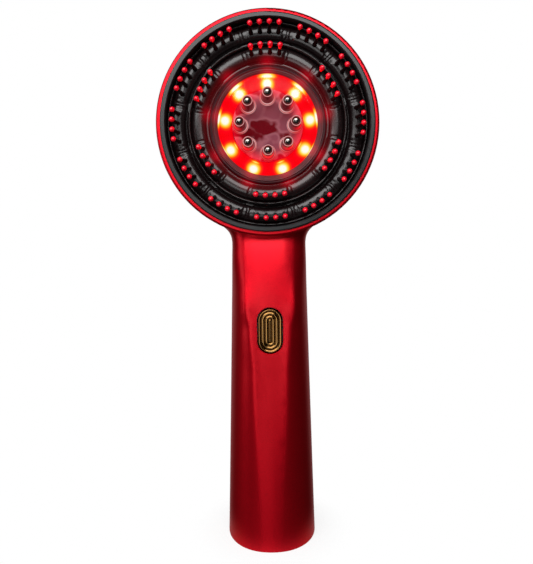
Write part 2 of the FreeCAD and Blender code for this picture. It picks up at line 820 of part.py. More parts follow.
# Base cap: a plate that closes the foot of both shells, with the charging socket's opening.
cap_inset = number("wall + cap_gap")
cap = handle_half(cap_inset, -1).fuse(handle_half(cap_inset, 1))
cap_top = number("cap_thickness")
cap = cap.common(block(-reach, reach, -reach, reach, 0, cap_top)).removeSplitter()
socket_hole = stadium(number("socket_depth + 2 * socket_gap"), number("socket_width + 2 * socket_gap"),
                      -wall, cap_top + wall)
socket_hole.rotate(Vector(0, 0, 0), Vector(0, 0, 1), 90)
socket_hole.translate(Vector(0, -number("socket_centre"), 0))
cap = cap.cut(socket_hole)
cap_screws = []
for side in (-1, 1):
    along = side * number("front_boss_depth")
    seat = number("cap_screw_seat")
    cap = cap.cut([upright(screw_hole, -wall, cap_top + wall, 0, along),
                   upright(number("screw_head_radius + screw_fit"), -wall, seat, 0, along)])
    fixing = screw(number("screw_length"))
    fixing.rotate(Vector(0, 0, 0), Vector(1, 0, 0), 180)
    fixing.translate(Vector(0, along, seat))
    cap_screws.append(fixing)
shaped("base_cap", cap)
shaped("base_screws", Part.makeCompound(cap_screws))

# Head frame: a plate on the rim's ledge, a pocket for the lights and a well for the cup.
turned = Rotation(Vector(0, 0, 1), FRAME_ANGLES[0])
frame = new_body("head_frame", HEAD.multiply(Placement(Vector(), turned)))
turn(frame, "frame_turn", [
    ("0", "well_back"), ("tube_outer", "well_back"), ("tube_outer", "pocket_back"),
    ("gasket_outer", "pocket_back"), ("gasket_outer", "frame_back"),
    ("rim_inner - frame_gap", "frame_back"), ("rim_inner - frame_gap", "frame_seat"),
    ("gasket_outer", "frame_seat"), ("gasket_outer", "window_seat"),
    ("pocket_radius", "window_seat"), ("pocket_radius", "board_seat"),
    ("tube_outer", "board_seat"), ("tube_outer", "reflector_seat"),
    ("well_radius", "reflector_seat"), ("well_radius", "well_front"), ("0", "well_front")])
hole = turn(frame, "frame_hole", [
    ("frame_boss_circle", "frame_back - wall"),
    ("frame_boss_circle + screw_radius + screw_fit", "frame_back - wall"),
    ("frame_boss_circle + screw_radius + screw_fit", "frame_screw_seat"),
    ("frame_boss_circle + screw_head_radius + screw_fit", "frame_screw_seat"),
    ("frame_boss_circle + screw_head_radius + screw_fit", "frame_seat + wall"),
    ("frame_boss_circle", "frame_seat + wall")], "frame_boss_circle", "Groove")
ring_of(frame, "frame_holes", [hole], len(FRAME_ANGLES))
fixing = screw(number("screw_length"))
fixing.translate(Vector(boss_circle, 0, number("frame_screw_seat")))
shaped("frame_screws", Part.makeCompound(around(fixing, FRAME_ANGLES)), HEAD)

turned_body("rim_ring", [
    ("ring_inner", "frame_seat"), ("ring_outer", "frame_seat"),
    ("ring_outer", "rim_front + rim_fit"), ("ring_outer + bezel_reach", "rim_front + rim_fit"),
    ("ring_outer + bezel_reach", "ring_front - ring_round", "ring_round", -1),
    ("ring_outer + bezel_reach - ring_round", "ring_front"),
    ("ring_inner + ring_round / 2", "ring_front"), ("ring_inner", "ring_front - ring_round / 2")])

# Lights: a board in the frame's pocket, the chips, a white channel round them and the window.
turned_body("light_board", [
    ("tube_outer + reflector_gap", "board_seat"), ("reflector_outer", "board_seat"),
    ("reflector_outer", "reflector_seat"), ("tube_outer + reflector_gap", "reflector_seat")])
reflector = turned_body("light_reflector", [
    ("well_radius", "reflector_seat"), ("reflector_outer", "reflector_seat"),
    ("reflector_outer", "window_seat"), ("reflector_outer - reflector_wall", "window_seat"),
    ("reflector_outer - reflector_wall", "reflector_seat + reflector_wall"),
    ("well_radius + reflector_wall", "reflector_seat + reflector_wall"),
    ("well_radius + reflector_wall", "window_seat"), ("well_radius", "window_seat")])
half_chip = "(led_length / 2 + led_gap)"
near = "(led_circle - led_width / 2 - led_gap)"
far = "(led_circle + led_width / 2 + led_gap)"
sketch = outline(reflector, "XY_Plane", [("-" + half_chip, near), (half_chip, near),
                                         (half_chip, far), ("-" + half_chip, far)], "chip_hole_outline")
bind(sketch, AttachmentOffset__Base__z="reflector_seat + reflector_wall")
chip_hole = reflector.newObject("PartDesign::Pocket", "chip_hole")
chip_hole.Profile = sketch
bind(chip_hole, Length="reflector_wall + led_gap")
reflector.Tip = chip_hole
ring_of(reflector, "chip_holes", [chip_hole], LIGHTS)
half_long = number("led_length") / 2
half_wide = number("led_width") / 2
seat = number("reflector_seat")
centre = number("led_circle")
chip = block(centre - half_wide, centre + half_wide, -half_long, half_long, seat,
             seat + number("led_height"))
shaped("light_chips", Part.makeCompound(around(chip, even(LIGHTS))), HEAD)
turned_body("light_window", [
    ("well_radius", "window_seat"), ("window_outer", "window_seat"), ("window_outer", "window_front"),
    ("well_radius + edge_break", "window_front"), ("well_radius", "window_front - edge_break")])
turned_body("window_gasket", [
    ("window_outer + gasket_fit", "window_seat"), ("gasket_outer", "window_seat"),
    ("gasket_outer", "gasket_front - gasket_lip"), ("gasket_outer - gasket_lip", "gasket_front"),
    ("gasket_inner + gasket_width / 2", "gasket_front"),
    ("gasket_inner + gasket_width / 2 - gasket_lip", "gasket_front - gasket_lip"),
    ("gasket_inner", "window_front + gasket_lip"), ("gasket_inner", "window_front"),
    ("window_outer + gasket_fit", "window_front")])

# Massage pad: a turned silicone moulding with two round beads, pods on the beads and bristles.
bead = "(%s_bump_half * %s_bump_half + %s_bump_rise * %s_bump_rise) / (2 * %s_bump_rise)"
pad_base = turned_body("pad_base", [
    ("pad_inner", "frame_seat"), ("pad_outer", "frame_seat"),
    ("pad_outer", "pad_edge - pad_chamfer"), ("pad_outer - pad_chamfer", "pad_edge"),
    ("pad_outer - pad_chamfer - ridge_top", "pad_edge"),
    ("pad_outer - outer_band_edge + groove_side", "pad_floor"),
    ("outer_pod_circle + outer_bump_half", "pad_floor", bead % (("outer",) * 5), -1),
    ("outer_pod_circle - outer_bump_half", "pad_floor"),
    ("step_radius + groove_side", "pad_floor"), ("step_radius", "pad_step - pad_chamfer"),
    ("step_radius - pad_chamfer", "pad_step"), ("step_radius - pad_chamfer - ridge_top", "pad_step"),
    ("step_radius - inner_band_edge + groove_side", "inner_floor"),
    ("inner_pod_circle + inner_bump_half", "inner_floor", bead % (("inner",) * 5), -1),
    ("inner_pod_circle - inner_bump_half", "inner_floor"), ("pad_inner", "inner_floor")])
nodes.pop("pad_base")
doc.recompute()


def pod(circle, half, rise, floor, span):
    """A rounded bead over part of the circle, standing a little prouder than the bead below it."""
    left = Vector(circle - half, 0, floor)
    right = Vector(circle + half, 0, floor)
    crown = Part.Arc(left, Vector(circle, 0, floor + rise), right).toShape()
    down = Vector(0, 0, -number("bristle_sink"))
    sides = [Part.LineSegment(right, right + down).toShape(),
             Part.LineSegment(right + down, left + down).toShape(),
             Part.LineSegment(left + down, left).toShape()]
    face = Part.Face(Part.Wire([crown] + sides))
    solid = face.revolve(Vector(0, 0, 0), Vector(0, 0, 1), span)
    solid.rotate(Vector(0, 0, 0), Vector(0, 0, 1), -span / 2)
    return solid


def bristle(circle, crest, height, splay):
    """A splayed bristle and the ball seated in its end, in the plane of the angle 0."""
    root = Vector(circle, 0, crest - number("bristle_sink"))
    lean = Vector(math.sin(math.radians(splay)), 0, math.cos(math.radians(splay)))
    shaft = Part.makeCone(number("bristle_root_radius"), number("bristle_end_radius"), height, root, lean)
    centre = root + lean * (height + number("tip_radius - tip_grip"))
    ball = Part.makeSphere(number("tip_radius"), centre)
    return shaft.cut(ball), ball


pieces = []
for name, count in PODS.items():
    turned = [angle + number("pad_turn") for angle in even(count)]
    circle = number(name + "_pod_circle")
    floor = number("pad_floor" if name == "outer" else "inner_floor")
    rise = number(name + "_bump_rise + pod_rise")
    pieces += around(pod(circle, number(name + "_bump_half"), rise, floor, number(name + "_pod_span")),
                     turned)
    shaft, tip = bristle(circle, floor + rise, number(name + "_bristle_height"), number(name + "_splay"))
    pitch = number(name + "_bristle_pitch")
    places = [angle + pitch * step for angle in turned for step in BRISTLE_STEPS]
    pieces += around(shaft, places)
    shaped(name + "_bristle_tips", Part.makeCompound(around(tip, places)), HEAD)
pad = pad_base.Shape.copy()
pad.Placement = Placement()
shaped("massage_pad", pad.fuse(pieces).removeSplitter(), HEAD)

# Applicator cup: a clear cup with eight hollow nozzles, each with a ball held in its tip.
cup = turned_body("applicator_cup", [
    ("cup_bore", "cup_back"), ("cup_radius", "cup_back"),
    ("cup_radius", "seal_centre - seal_thickness - seal_fit"),
    ("seal_groove", "seal_centre - seal_thickness - seal_fit"),
    ("seal_groove", "seal_centre + seal_thickness + seal_fit"),
    ("cup_radius", "seal_centre + seal_thickness + seal_fit"),
    ("cup_radius", "cup_front - edge_break"), ("cup_radius - edge_break", "cup_front"), ("0", "cup_front"),
    ("0", "cup_front - cup_plate"), ("cup_bore", "cup_front - cup_plate")])
nozzle = turn(cup, "nozzle", [
    ("nozzle_circle", "cup_front - cup_plate / 2"),
    ("nozzle_circle + collar_radius", "cup_front - cup_plate / 2"),
    ("nozzle_circle + collar_radius", "cup_front + collar_height - collar_round", "collar_round", -1),
    ("nozzle_circle + collar_radius - collar_round", "cup_front + collar_height"),
    ("nozzle_circle + nozzle_base_radius", "cup_front + collar_height"),
    ("nozzle_circle + nozzle_tip_radius", "nozzle_tip"), ("nozzle_circle", "nozzle_tip")], "nozzle_circle")
ring_of(cup, "nozzles", [nozzle], NOZZLES)
seat_low = "ball_centre - sqrt(ball_seat * ball_seat - nozzle_bore * nozzle_bore)"
mouth = "nozzle_circle + sqrt(ball_seat * ball_seat - ball_sink * ball_sink)"
bore = turn(cup, "nozzle_bore_cut", [
    ("nozzle_circle", "cup_front - 2 * cup_plate"),
    ("nozzle_circle + nozzle_bore", "cup_front - 2 * cup_plate"),
    ("nozzle_circle + nozzle_bore", seat_low, "ball_seat", -1), (mouth, "nozzle_tip"),
    (mouth, "nozzle_tip + ball_sink"), ("nozzle_circle", "nozzle_tip + ball_sink")],
    "nozzle_circle", "Groove")
ring_of(cup, "nozzle_bores", [bore], NOZZLES)
for index, angle in enumerate(even(NOZZLES), 1):
    ball = doc.addObject("Part::Sphere", "roller_ball_%d" % index)
    ball.Label = "roller_ball_%d" % index
    bind(ball, Radius="ball_radius", Placement__Base__y="-ball_centre",
         Placement__Base__x="nozzle_circle * cos(%g)" % angle,
         Placement__Base__z="head_height + nozzle_circle * sin(%g)" % angle)
    nodes[ball.Label] = ball
turned_body("cup_lid", [
    ("plug_radius", "lid_back"), ("cup_radius", "lid_back"), ("cup_radius", "cup_back"),
    ("cup_bore - lid_fit", "cup_back"), ("cup_bore - lid_fit", "cup_back + lid_spigot"),
    ("cup_bore - lid_fit - spigot_wall", "cup_back + lid_spigot"),
    ("cup_bore - lid_fit - spigot_wall", "cup_back"),
    ("plug_radius", "cup_back")])
turned_body("filler_plug", [
    ("0", "lid_back"), ("plug_radius", "lid_back"), ("plug_radius", "cup_back"),
    ("plug_radius + plug_lip", "cup_back"), ("plug_radius + plug_lip - plug_taper", "cup_back + plug_head"),
    ("0", "cup_back + plug_head")])
seal = doc.addObject("Part::Torus", "cup_seal")
seal.Label = "cup_seal"
seal.Placement = HEAD
bind(seal, Radius1="seal_circle", Radius2="seal_thickness", Placement__Base__y="-seal_centre",
     Placement__Base__z="head_height")
nodes["cup_seal"] = seal


def rod(label, radius, length, across, along, up, turned):
    """A cylinder from a place, along the axis that the rotation gives, bound to the sheet."""
    piece = doc.addObject("Part::Cylinder", label)
    piece.Label = label
    piece.Placement = Placement(Vector(), turned)
    bind(piece, Radius=radius, Height=length, Placement__Base__x=across, Placement__Base__y=along,
         Placement__Base__z=up)
    nodes[label] = piece
    return piece


def plate(label, across, along, up, length, width, height):
    """A box from its lowest corner, bound to the sheet."""
    piece = doc.addObject("Part::Box", label)
    piece.Label = label
    bind(piece, Length=length, Width=width, Height=height, Placement__Base__x=across,
         Placement__Base__y=along, Placement__Base__z=up)
    nodes[label] = piece
    return piece


def drilled(label, base, *tools):
    """A piece cut by others, taking over the label."""
    base.Label = label + "_blank"
    nodes.pop(label)
    for tool in tools:
        nodes.pop(tool.Label)
    bores = tools[0]
    if len(tools) > 1:
        bores = doc.addObject("Part::MultiFuse", label + "_bores")
        bores.Shapes = list(tools)
    piece = doc.addObject("Part::Cut", label)
    piece.Label = label
    piece.Base = base
    piece.Tool = bores
    nodes[label] = piece
    return piece


# Vibration motor across the head behind the well, held between the saddles and a clamp.
ACROSS = Rotation(Vector(0, 1, 0), 90)
TOWARDS = Rotation(Vector(1, 0, 0), 90)
UP = Rotation()
rod("motor_can", "motor_radius", "motor_length - motor_cap_length", "motor_start + motor_cap_length",
    "-motor_axis", "head_height", ACROSS)
rod("motor_cap", "motor_cap_radius", "motor_cap_length", "motor_start", "-motor_axis", "head_height",
    ACROSS)
rod("motor_shaft", "shaft_radius", "shaft_reach", "motor_end", "-motor_axis", "head_height", ACROSS)
weight_length = number("weight_length")
sector = Part.makeCylinder(number("weight_radius"), weight_length, Vector(), Vector(0, 0, 1), 180)
sector.rotate(Vector(0, 0, 0), Vector(0, 0, 1), -90)
hub = Part.makeCylinder(number("shaft_radius + hub_wall"), weight_length)
weight = sector.fuse(hub).cut(Part.makeCylinder(number("shaft_radius"), weight_length)).removeSplitter()
shaped("eccentric_weight", weight,
       Placement(Vector(number("motor_end + weight_gap"), -motor_axis, head_height), ACROSS))
half_clamp = number("clamp_length") / 2
ear = number("motor_bore + clamp_ear")
shoulder = number("motor_bore + clamp_wall")
ear_top = number("motor_axis + clamp_ear_height")
clamp = block(middle - half_clamp, middle + half_clamp, -ear, ear, motor_axis, ear_top)
clamp = clamp.fuse(block(middle - half_clamp, middle + half_clamp, -shoulder, shoulder, motor_axis,
                         number("well_back - clamp_gap")))
clamp = clamp.cut(motor_bore)
clamp_screws = []
for along in (-number("clamp_hole"), number("clamp_hole")):
    clamp = clamp.cut(upright(screw_hole, motor_axis - wall, ear_top + wall, middle, along))
    fixing = screw(number("screw_length"))
    fixing.translate(Vector(middle, along, ear_top))
    clamp_screws.append(fixing)
shaped("motor_clamp", clamp.removeSplitter(), HEAD)
shaped("clamp_screws", Part.makeCompound(clamp_screws), HEAD)

# Power button, the switch behind it and the control board.
button = new_body("power_button", FRONT)
slot_pad(button, "button_cap", "flange_front - flange_thickness", "button_face - ridge_height",
         ("button_width", "button_length"))
slot_pad(button, "button_flange_pad", "flange_front - flange_thickness", "flange_front",
         ("button_width + 2 * button_flange", "button_length + 2 * button_flange"))
for index in range(BUTTON_RIDGES):
    outside = "2 * %d * ridge_pitch" % index
    inside_edge = outside + " - 2 * ridge_width"
    slot_pad(button, "ridge_%d" % index, "button_face - ridge_height", "button_face",
             ("button_width - " + outside, "button_length - " + outside),
             ("button_width - " + inside_edge, "button_length - " + inside_edge))
outside = "2 * %d * ridge_pitch" % BUTTON_RIDGES
slot_pad(button, "middle_bar", "button_face - ridge_height", "button_face",
         ("button_width - " + outside, "button_length - " + outside))
turn(button, "button_stem", [
    ("0", "stem_end"), ("stem_radius", "stem_end"), ("stem_radius", "flange_front - flange_thickness / 2"),
    ("0", "flange_front - flange_thickness / 2")])
switch = plate("switch_body", "-switch_side / 2", "-board_front - switch_depth",
               "button_height - switch_side / 2", "switch_side", "switch_depth", "switch_side")
well = rod("switch_well", "plunger_radius + plunger_gap", "2 * plunger_well", "0",
           "-board_front - switch_depth + plunger_well", "button_height", TOWARDS)
drilled("switch_body", switch, well)
rod("switch_plunger", "plunger_radius", "stem_end - board_front - switch_depth + plunger_sink", "0",
    "-board_front - switch_depth + plunger_sink", "button_height", TOWARDS)
board = plate("control_board", "-board_width / 2", "-board_front", "board_bottom", "board_width",
              "board_thickness", "board_top - board_bottom")
bores = []
board_screws = []
for across in ("-post_offset", "post_offset"):
    for height in ("low_post_height", "high_post_height"):
        name = "board_hole_%d" % (len(bores) + 1)
        bores.append(rod(name, "screw_radius + screw_fit", "3 * board_thickness", across,
                         "-board_front + 2 * board_thickness", height, TOWARDS))
        fixing = screw(number("board_screw_length"))
        fixing.Placement = Placement(
            Vector(number(across), number("board_thickness - board_front"), number(height)),
            Rotation(Vector(1, 0, 0), -90))
        board_screws.append(fixing)
drilled("control_board", board, *bores)
shaped("board_screws", Part.makeCompound(board_screws))
# Parts on the board, in shares of its width and length: left edge, right edge, lower edge,
# upper edge. The last value is the part's rise in millimetres.
BOARD_PARTS = [(-0.2, 0.2, 0.34, 0.42, 1.6), (-0.38, -0.23, 0.18, 0.22, 3.0),
               (0.17, 0.4, 0.18, 0.23, 2.2), (-0.3, 0.3, 0.6, 0.65, 4.2),
               (-0.45, -0.37, 0.27, 0.28, 0.8), (-0.32, -0.24, 0.27, 0.28, 0.8),
               (-0.19, -0.11, 0.27, 0.28, 0.8), (-0.06, 0.02, 0.27, 0.28, 0.8),
               (0.07, 0.15, 0.27, 0.28, 0.8), (0.2, 0.28, 0.27, 0.28, 0.8), (0.33, 0.41, 0.27, 0.28, 0.8)]
front = -number("board_front")
board_low = number("board_bottom")
board_wide = number("board_width")
board_long = number("board_top - board_bottom")
chips = []
for left, right, low, high, rise in BOARD_PARTS:
    chips.append(block(board_wide * left, board_wide * right, front - rise, front,
                       board_low + board_long * low, board_low + board_long * high))
shaped("board_parts", Part.makeCompound(chips))

# Charging socket on the board's lower edge.
outer = stadium(number("socket_depth"), number("socket_width"), 0, number("socket_length"))
socket_end = number("socket_length - socket_back")
inner = stadium(number("socket_depth - 2 * socket_wall"), number("socket_width - 2 * socket_wall"), -wall,
                socket_end)
case = outer.cut(inner)
half_thick = number("tongue_thickness") / 2
half_wide = number("tongue_width") / 2
tongue = block(-half_thick, half_thick, -half_wide, half_wide, number("tongue_setback"), socket_end)
socket_place = Placement(Vector(0, -number("socket_centre"), number("socket_setback")),
                         Rotation(Vector(0, 0, 1), 90))
shaped("charge_socket", case, socket_place)
shaped("charge_contacts", tongue, socket_place)

# Battery in the rear shell's ribs.
rod("battery_cell", "battery_radius", "battery_length", "0", "battery_depth", "battery_bottom", UP)
plate("positive_tab", "-tab_width / 2", "battery_depth - tab_width", "battery_bottom + battery_length",
      "tab_width", "2 * tab_width", "tab_thickness")
plate("negative_tab", "-tab_width / 2", "battery_depth - tab_width", "battery_bottom - tab_thickness",
      "tab_width", "2 * tab_width", "tab_thickness")


def lead(*corners):
    """A round lead along straight runs, each corner turned on an arc of the lead's bend radius."""
    bend = number("lead_bend")
    edges = []
    start = corners[0]
    for before, corner, after in zip(corners, corners[1:], corners[2:]):
        come = (corner - before).normalize()
        leave = (after - corner).normalize()
        first = corner - come * bend
        last = corner + leave * bend
        middle = corner + (leave - come) * bend * (1 - math.sqrt(0.5))
        edges.append(Part.LineSegment(start, first).toShape())
        edges.append(Part.Arc(first, middle, last).toShape())
        start = last
    edges.append(Part.LineSegment(start, corners[-1]).toShape())
    path = Part.Wire(edges)
    section = Part.Wire(Part.makeCircle(number("lead_radius"), corners[0], corners[1] - corners[0]))
    solid = path.makePipeShell([section], True, False)
    expected = math.pi * number("lead_radius") ** 2 * path.Length
    if abs(solid.Volume - expected) > TUBE_ERROR * expected:
        raise RuntimeError("a lead of %.1f mm is not the tube it should be" % path.Length)
    return solid


# Leads: battery tabs, motor cap and light board to the back of the control board.
board_back = number("board_thickness - board_front")
pitch = number("lead_pitch")
stub = number("lead_bend + lead_stub")
cell_top = number("battery_bottom + battery_length + tab_thickness")
cell_low = number("battery_bottom - tab_thickness")
tab_middle = number("battery_depth - tab_width / 2")
shaped("battery_leads", Part.makeCompound([
    lead(Vector(0, tab_middle, end), Vector(0, tab_middle, end + step), Vector(0, board_back, end + step))
    for end, step in ((cell_top, stub), (cell_low, -stub))]))
cap_radius = number("motor_cap_radius")
cap_middle = number("motor_start + motor_cap_length / 2")
motor_leads = []
cap_space = Part.makeCylinder(cap_radius, 2 * pitch, Vector(cap_middle - pitch, -motor_axis, head_height),
                              Vector(1, 0, 0))
for index in range(2):
    shift = index * pitch
    along = -motor_axis - shift
    start = head_height - math.sqrt(cap_radius * cap_radius - shift * shift) + number("lead_radius")
    turn_height = number("head_height - tube_outer - lead_stub - lead_bend") + shift
    run = board_back + 2 * stub - shift
    landing = number("high_post_height - lead_spacing") + shift
    motor_leads.append(lead(Vector(cap_middle, along, start), Vector(cap_middle, along, turn_height),
                            Vector(cap_middle, run, turn_height), Vector(cap_middle, run, landing),
                            Vector(cap_middle, board_back, landing)).cut(cap_space))
shaped("motor_leads", Part.makeCompound(motor_leads))
light_height = head_height - number("led_circle")
light_landing = number("high_post_height - 2 * lead_spacing")
light_run = board_back + stub
shaped("light_leads", Part.makeCompound([
    lead(Vector(across, -number("board_seat"), light_height), Vector(across, light_run, light_height),
         Vector(across, light_run, light_landing), Vector(across, board_back, light_landing))
    for across in (-pitch / 2, pitch / 2)]))
lead_hole = rod("lead_hole", "lead_hole_radius", "3 * pocket_floor", "0", "-pocket_back + pocket_floor",
                "head_height - led_circle", TOWARDS)
drilled("head_frame", frame, lead_hole)

doc.recompute()
os.makedirs("parts", exist_ok=True)
for item in doc.Objects:
    if "Invalid" in item.State or "Error" in item.State:
        raise RuntimeError("%s did not rebuild" % item.Label)
for label, piece in nodes.items():
    if piece.Shape.isNull() or not piece.Shape.isValid():
        raise RuntimeError("%s has no sound shape" % label)
    if not piece.Shape.Solids:
        raise RuntimeError("%s has no solid" % label)
    piece.Shape.exportStep("parts/%s.step" % label)
    box = piece.Shape.BoundBox
    print("%-18s %2d solid %9.1f mm3  z %6.1f to %6.1f" % (
        label, len(piece.Shape.Solids), piece.Shape.Volume, box.ZMin, box.ZMax))
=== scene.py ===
import math

import bmesh
import bpy
import numpy as np
from bpy.props import FloatProperty, FloatVectorProperty, IntProperty, PointerProperty
from mathutils import Matrix, Vector


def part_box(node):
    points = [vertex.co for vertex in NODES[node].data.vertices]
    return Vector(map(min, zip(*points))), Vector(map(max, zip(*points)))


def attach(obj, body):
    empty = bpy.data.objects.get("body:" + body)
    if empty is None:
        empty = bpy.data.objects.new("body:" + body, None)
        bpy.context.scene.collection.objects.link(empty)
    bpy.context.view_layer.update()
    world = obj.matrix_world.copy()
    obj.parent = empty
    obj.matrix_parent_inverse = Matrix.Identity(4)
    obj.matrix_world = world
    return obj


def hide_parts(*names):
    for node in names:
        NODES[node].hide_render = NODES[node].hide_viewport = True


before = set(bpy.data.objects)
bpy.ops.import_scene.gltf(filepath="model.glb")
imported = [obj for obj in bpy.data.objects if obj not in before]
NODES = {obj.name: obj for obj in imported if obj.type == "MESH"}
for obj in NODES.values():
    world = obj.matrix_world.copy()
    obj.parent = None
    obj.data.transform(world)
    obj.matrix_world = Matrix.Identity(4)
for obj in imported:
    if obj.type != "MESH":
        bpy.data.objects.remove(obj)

bl_info = {
    "name": "Scalp Massager Dressing",
    "version": (1, 0, 0),
    "blender": (4, 5, 0),
    "location": "3D View > Sidebar > Massager",
    "description": "Finishes of a hand-held scalp massager over its packed CAD frame",
    "category": "Object",
}

MM = 0.001
WELD = 1e-7
TOP = math.pi / 2
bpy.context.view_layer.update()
RING_LOW, RING_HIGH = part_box("rim_ring")
HEAD_HEIGHT = (RING_LOW.z + RING_HIGH.z) / 2
PAD_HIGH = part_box("massage_pad")[1]
CUP_LOW, CUP_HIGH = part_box("applicator_cup")
BUTTON_LOW, BUTTON_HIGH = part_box("power_button")
CHANNEL_LOW, CHANNEL_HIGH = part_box("light_reflector")


def linear(code):
    """Linear RGBA of an sRGB hex colour."""
    parts = np.array([int(code[place:place + 2], 16) for place in (1, 3, 5)]) / 255
    curve = np.where(parts <= 0.04045, parts / 12.92, ((parts + 0.055) / 1.055) ** 2.4)
    return (*(float(part) for part in curve), 1.0)


def colour(title, words, code):
    """A colour property, given by its sRGB hex value."""
    return FloatVectorProperty(name=title, description=words, subtype="COLOR", size=4, min=0, max=1,
                               default=linear(code))


def length(title, words, metres):
    """A length property in metres."""
    return FloatProperty(name=title, description=words, default=metres, unit="LENGTH", precision=5)


def degrees(title, words, value):
    """An angle property, given in degrees and kept in radians."""
    return FloatProperty(name=title, description=words, default=math.radians(value), subtype="ANGLE")


def amount(title, words, value):
    """A property for a strength, a power or a focal length."""
    return FloatProperty(name=title, description=words, default=value, min=0)


def whole(title, words, value):
    """A property for a number of pieces."""
    return IntProperty(name=title, description=words, default=value, min=1)


class PadSizes(bpy.types.PropertyGroup):
    """Sizes of the silicone pad and its bristles."""
    bore: length("Pad bore", "Radius of the hole in the pad", 0.0222)
    edge: length("Pad edge", "Outer radius of the pad", PAD_HIGH.x)
    seat: length("Pad seat", "Depth of the pad's back in front of the shells' joint", -PAD_HIGH.y)
    first_pod: degrees("First pod", "Place of the topmost pods round the face", 91.3)
    outer_pods: whole("Outer pods", "Number of pods on the outer circle", 12)
    inner_pods: whole("Inner pods", "Number of pods on the inner circle", 6)
    outer_circle: length("Outer pod circle", "Radius that the outer pods lie on", 0.03395)
    inner_circle: length("Inner pod circle", "Radius that the inner pods lie on", 0.026)
    outer_half: length("Outer pod half width", "Half the width of an outer pod across its circle", 0.0029)
    inner_half: length("Inner pod half width", "Half the width of an inner pod across its circle", 0.00275)
    outer_length: length("Outer pod length", "Length of an outer pod along its circle", 0.0166)
    inner_length: length("Inner pod length", "Length of an inner pod along its circle", 0.0166)
    outer_rise: length("Outer pod rise", "Height of an outer pod above its groove", 0.0024)
    inner_rise: length("Inner pod rise", "Height of an inner pod above its groove", 0.0025)
    outer_bead: length("Outer bead rise", "Height of the round bead between the outer pods", 0.0021)
    inner_bead: length("Inner bead rise", "Height of the round bead between the inner pods", 0.0019)
    pod_corner: length("Pod corner", "Corner radius of a pod's outline", 0.0021)
    groove: length("Pod groove", "Depth of the fine groove round each pod", 0.00028)
    outer_bristle: length("Outer bristle", "Length of an outer bristle from its root", 0.0076)
    inner_bristle: length("Inner bristle", "Length of an inner bristle from its root", 0.0072)
    outer_root: length("Outer bristle root", "Depth of the outer bristles' roots", 0.016)
    inner_root: length("Inner bristle root", "Depth of the inner bristles' roots", 0.0173)
    outer_pitch: degrees("Outer bristle pitch", "Turn from bristle to bristle on an outer pod", 5.8)
    inner_pitch: degrees("Inner bristle pitch", "Turn from bristle to bristle on an inner pod", 7.6)
    outer_lean: degrees("Outer bristle lean", "How far the outer bristles lean outwards", 9.0)
    inner_lean: degrees("Inner bristle lean", "How far the inner bristles lean outwards", 8.0)
    outer_sleeve: length("Outer tip sleeve", "How far an outer tip runs down its bristle", 0.0011)
    inner_sleeve: length("Inner tip sleeve", "How far an inner tip runs down its bristle", 0.0029)
    root_radius: length("Bristle root radius", "Radius of a bristle at its root", 0.00085)
    end_radius: length("Bristle end radius", "Radius of a bristle below its tip", 0.00058)
    tip_radius: length("Tip radius", "Radius of the ball on a bristle", 0.00088)


class LightSizes(bpy.types.PropertyGroup):
    """Sizes and strength of the ring of lights."""
    lamps: whole("Lamps", "Number of lit chips round the ring", 9)
    lamp_circle: length("Lamp circle", "Radius that the chips lie on", 0.0172)
    glow_circle: length("Glow circle", "Radius of the brightest spots on the channel's floor", 0.0168)
    spread_along: length("Glow along", "How far a chip's glow reaches along the ring", 0.0029)
    spread_across: length("Glow across", "How far a chip's glow reaches across the ring", 0.0028)
    channel_bore: length("Channel bore", "Radius of the hole in the channel", 0.0137)
    channel_floor: length("Channel floor", "Thickness of the channel's floor", 0.0008)
    dome_radius: length("Dome radius", "Radius of the resin dome over a chip", 0.0015)
    dome_rise: length("Dome rise", "Height of the resin dome over a chip", 0.0009)
    lamp_depth: length("Lamp depth", "Depth from which the chips' light is thrown out", 0.019)
    lamp_size: length("Lamp size", "Radius of the glow that throws light out", 0.003)
    spill: amount("Lamp spill", "Power of the red light that each chip throws out", 0.0035)
    strength: amount("Lamp strength", "Emission of the lit channel", 1.0)


class CupSizes(bpy.types.PropertyGroup):
    """Sizes of the clear applicator cup."""
    radius: length("Cup radius", "Outer radius of the cup", CUP_HIGH.x)
    face: length("Cup face", "Depth of the cup's front face", 0.015)
    back: length("Cup back", "Depth of the cup's open back", -CUP_HIGH.y)
    wall: length("Cup wall", "Thickness of the cup's side", 0.002)
    plate: length("Cup plate", "Thickness of the cup's front", 0.0018)
    chamfer: length("Cup chamfer", "Width of the bevel round the cup's face", 0.0003)
    nozzles: whole("Nozzles", "Number of nozzles round the cup's face", 8)
    tip: length("Nozzle tip", "Depth of the nozzles' ends", -CUP_LOW.y)
    circle: length("Nozzle circle", "Radius that the nozzles lie on", 0.0104)


class ButtonSizes(bpy.types.PropertyGroup):
    """Sizes of the ribbed power button."""
    centre: length("Button height", "Height of the button's middle", (BUTTON_LOW.z + BUTTON_HIGH.z) / 2)
    half_width: length("Button half width", "Half the width of the button's cap", 0.0046)
    half_length: length("Button half length", "Half the length of the button's cap", 0.0087)
    face: length("Button face", "Depth of the ribs' crests", 0.0175)
    foot: length("Button foot", "Height of the crests above the button's foot", 0.0035)
    rib_pitch: length("Rib pitch", "Distance from rib to rib", 0.00143)
    rib_rise: length("Rib rise", "Height of a rib above its valley", 0.00052)


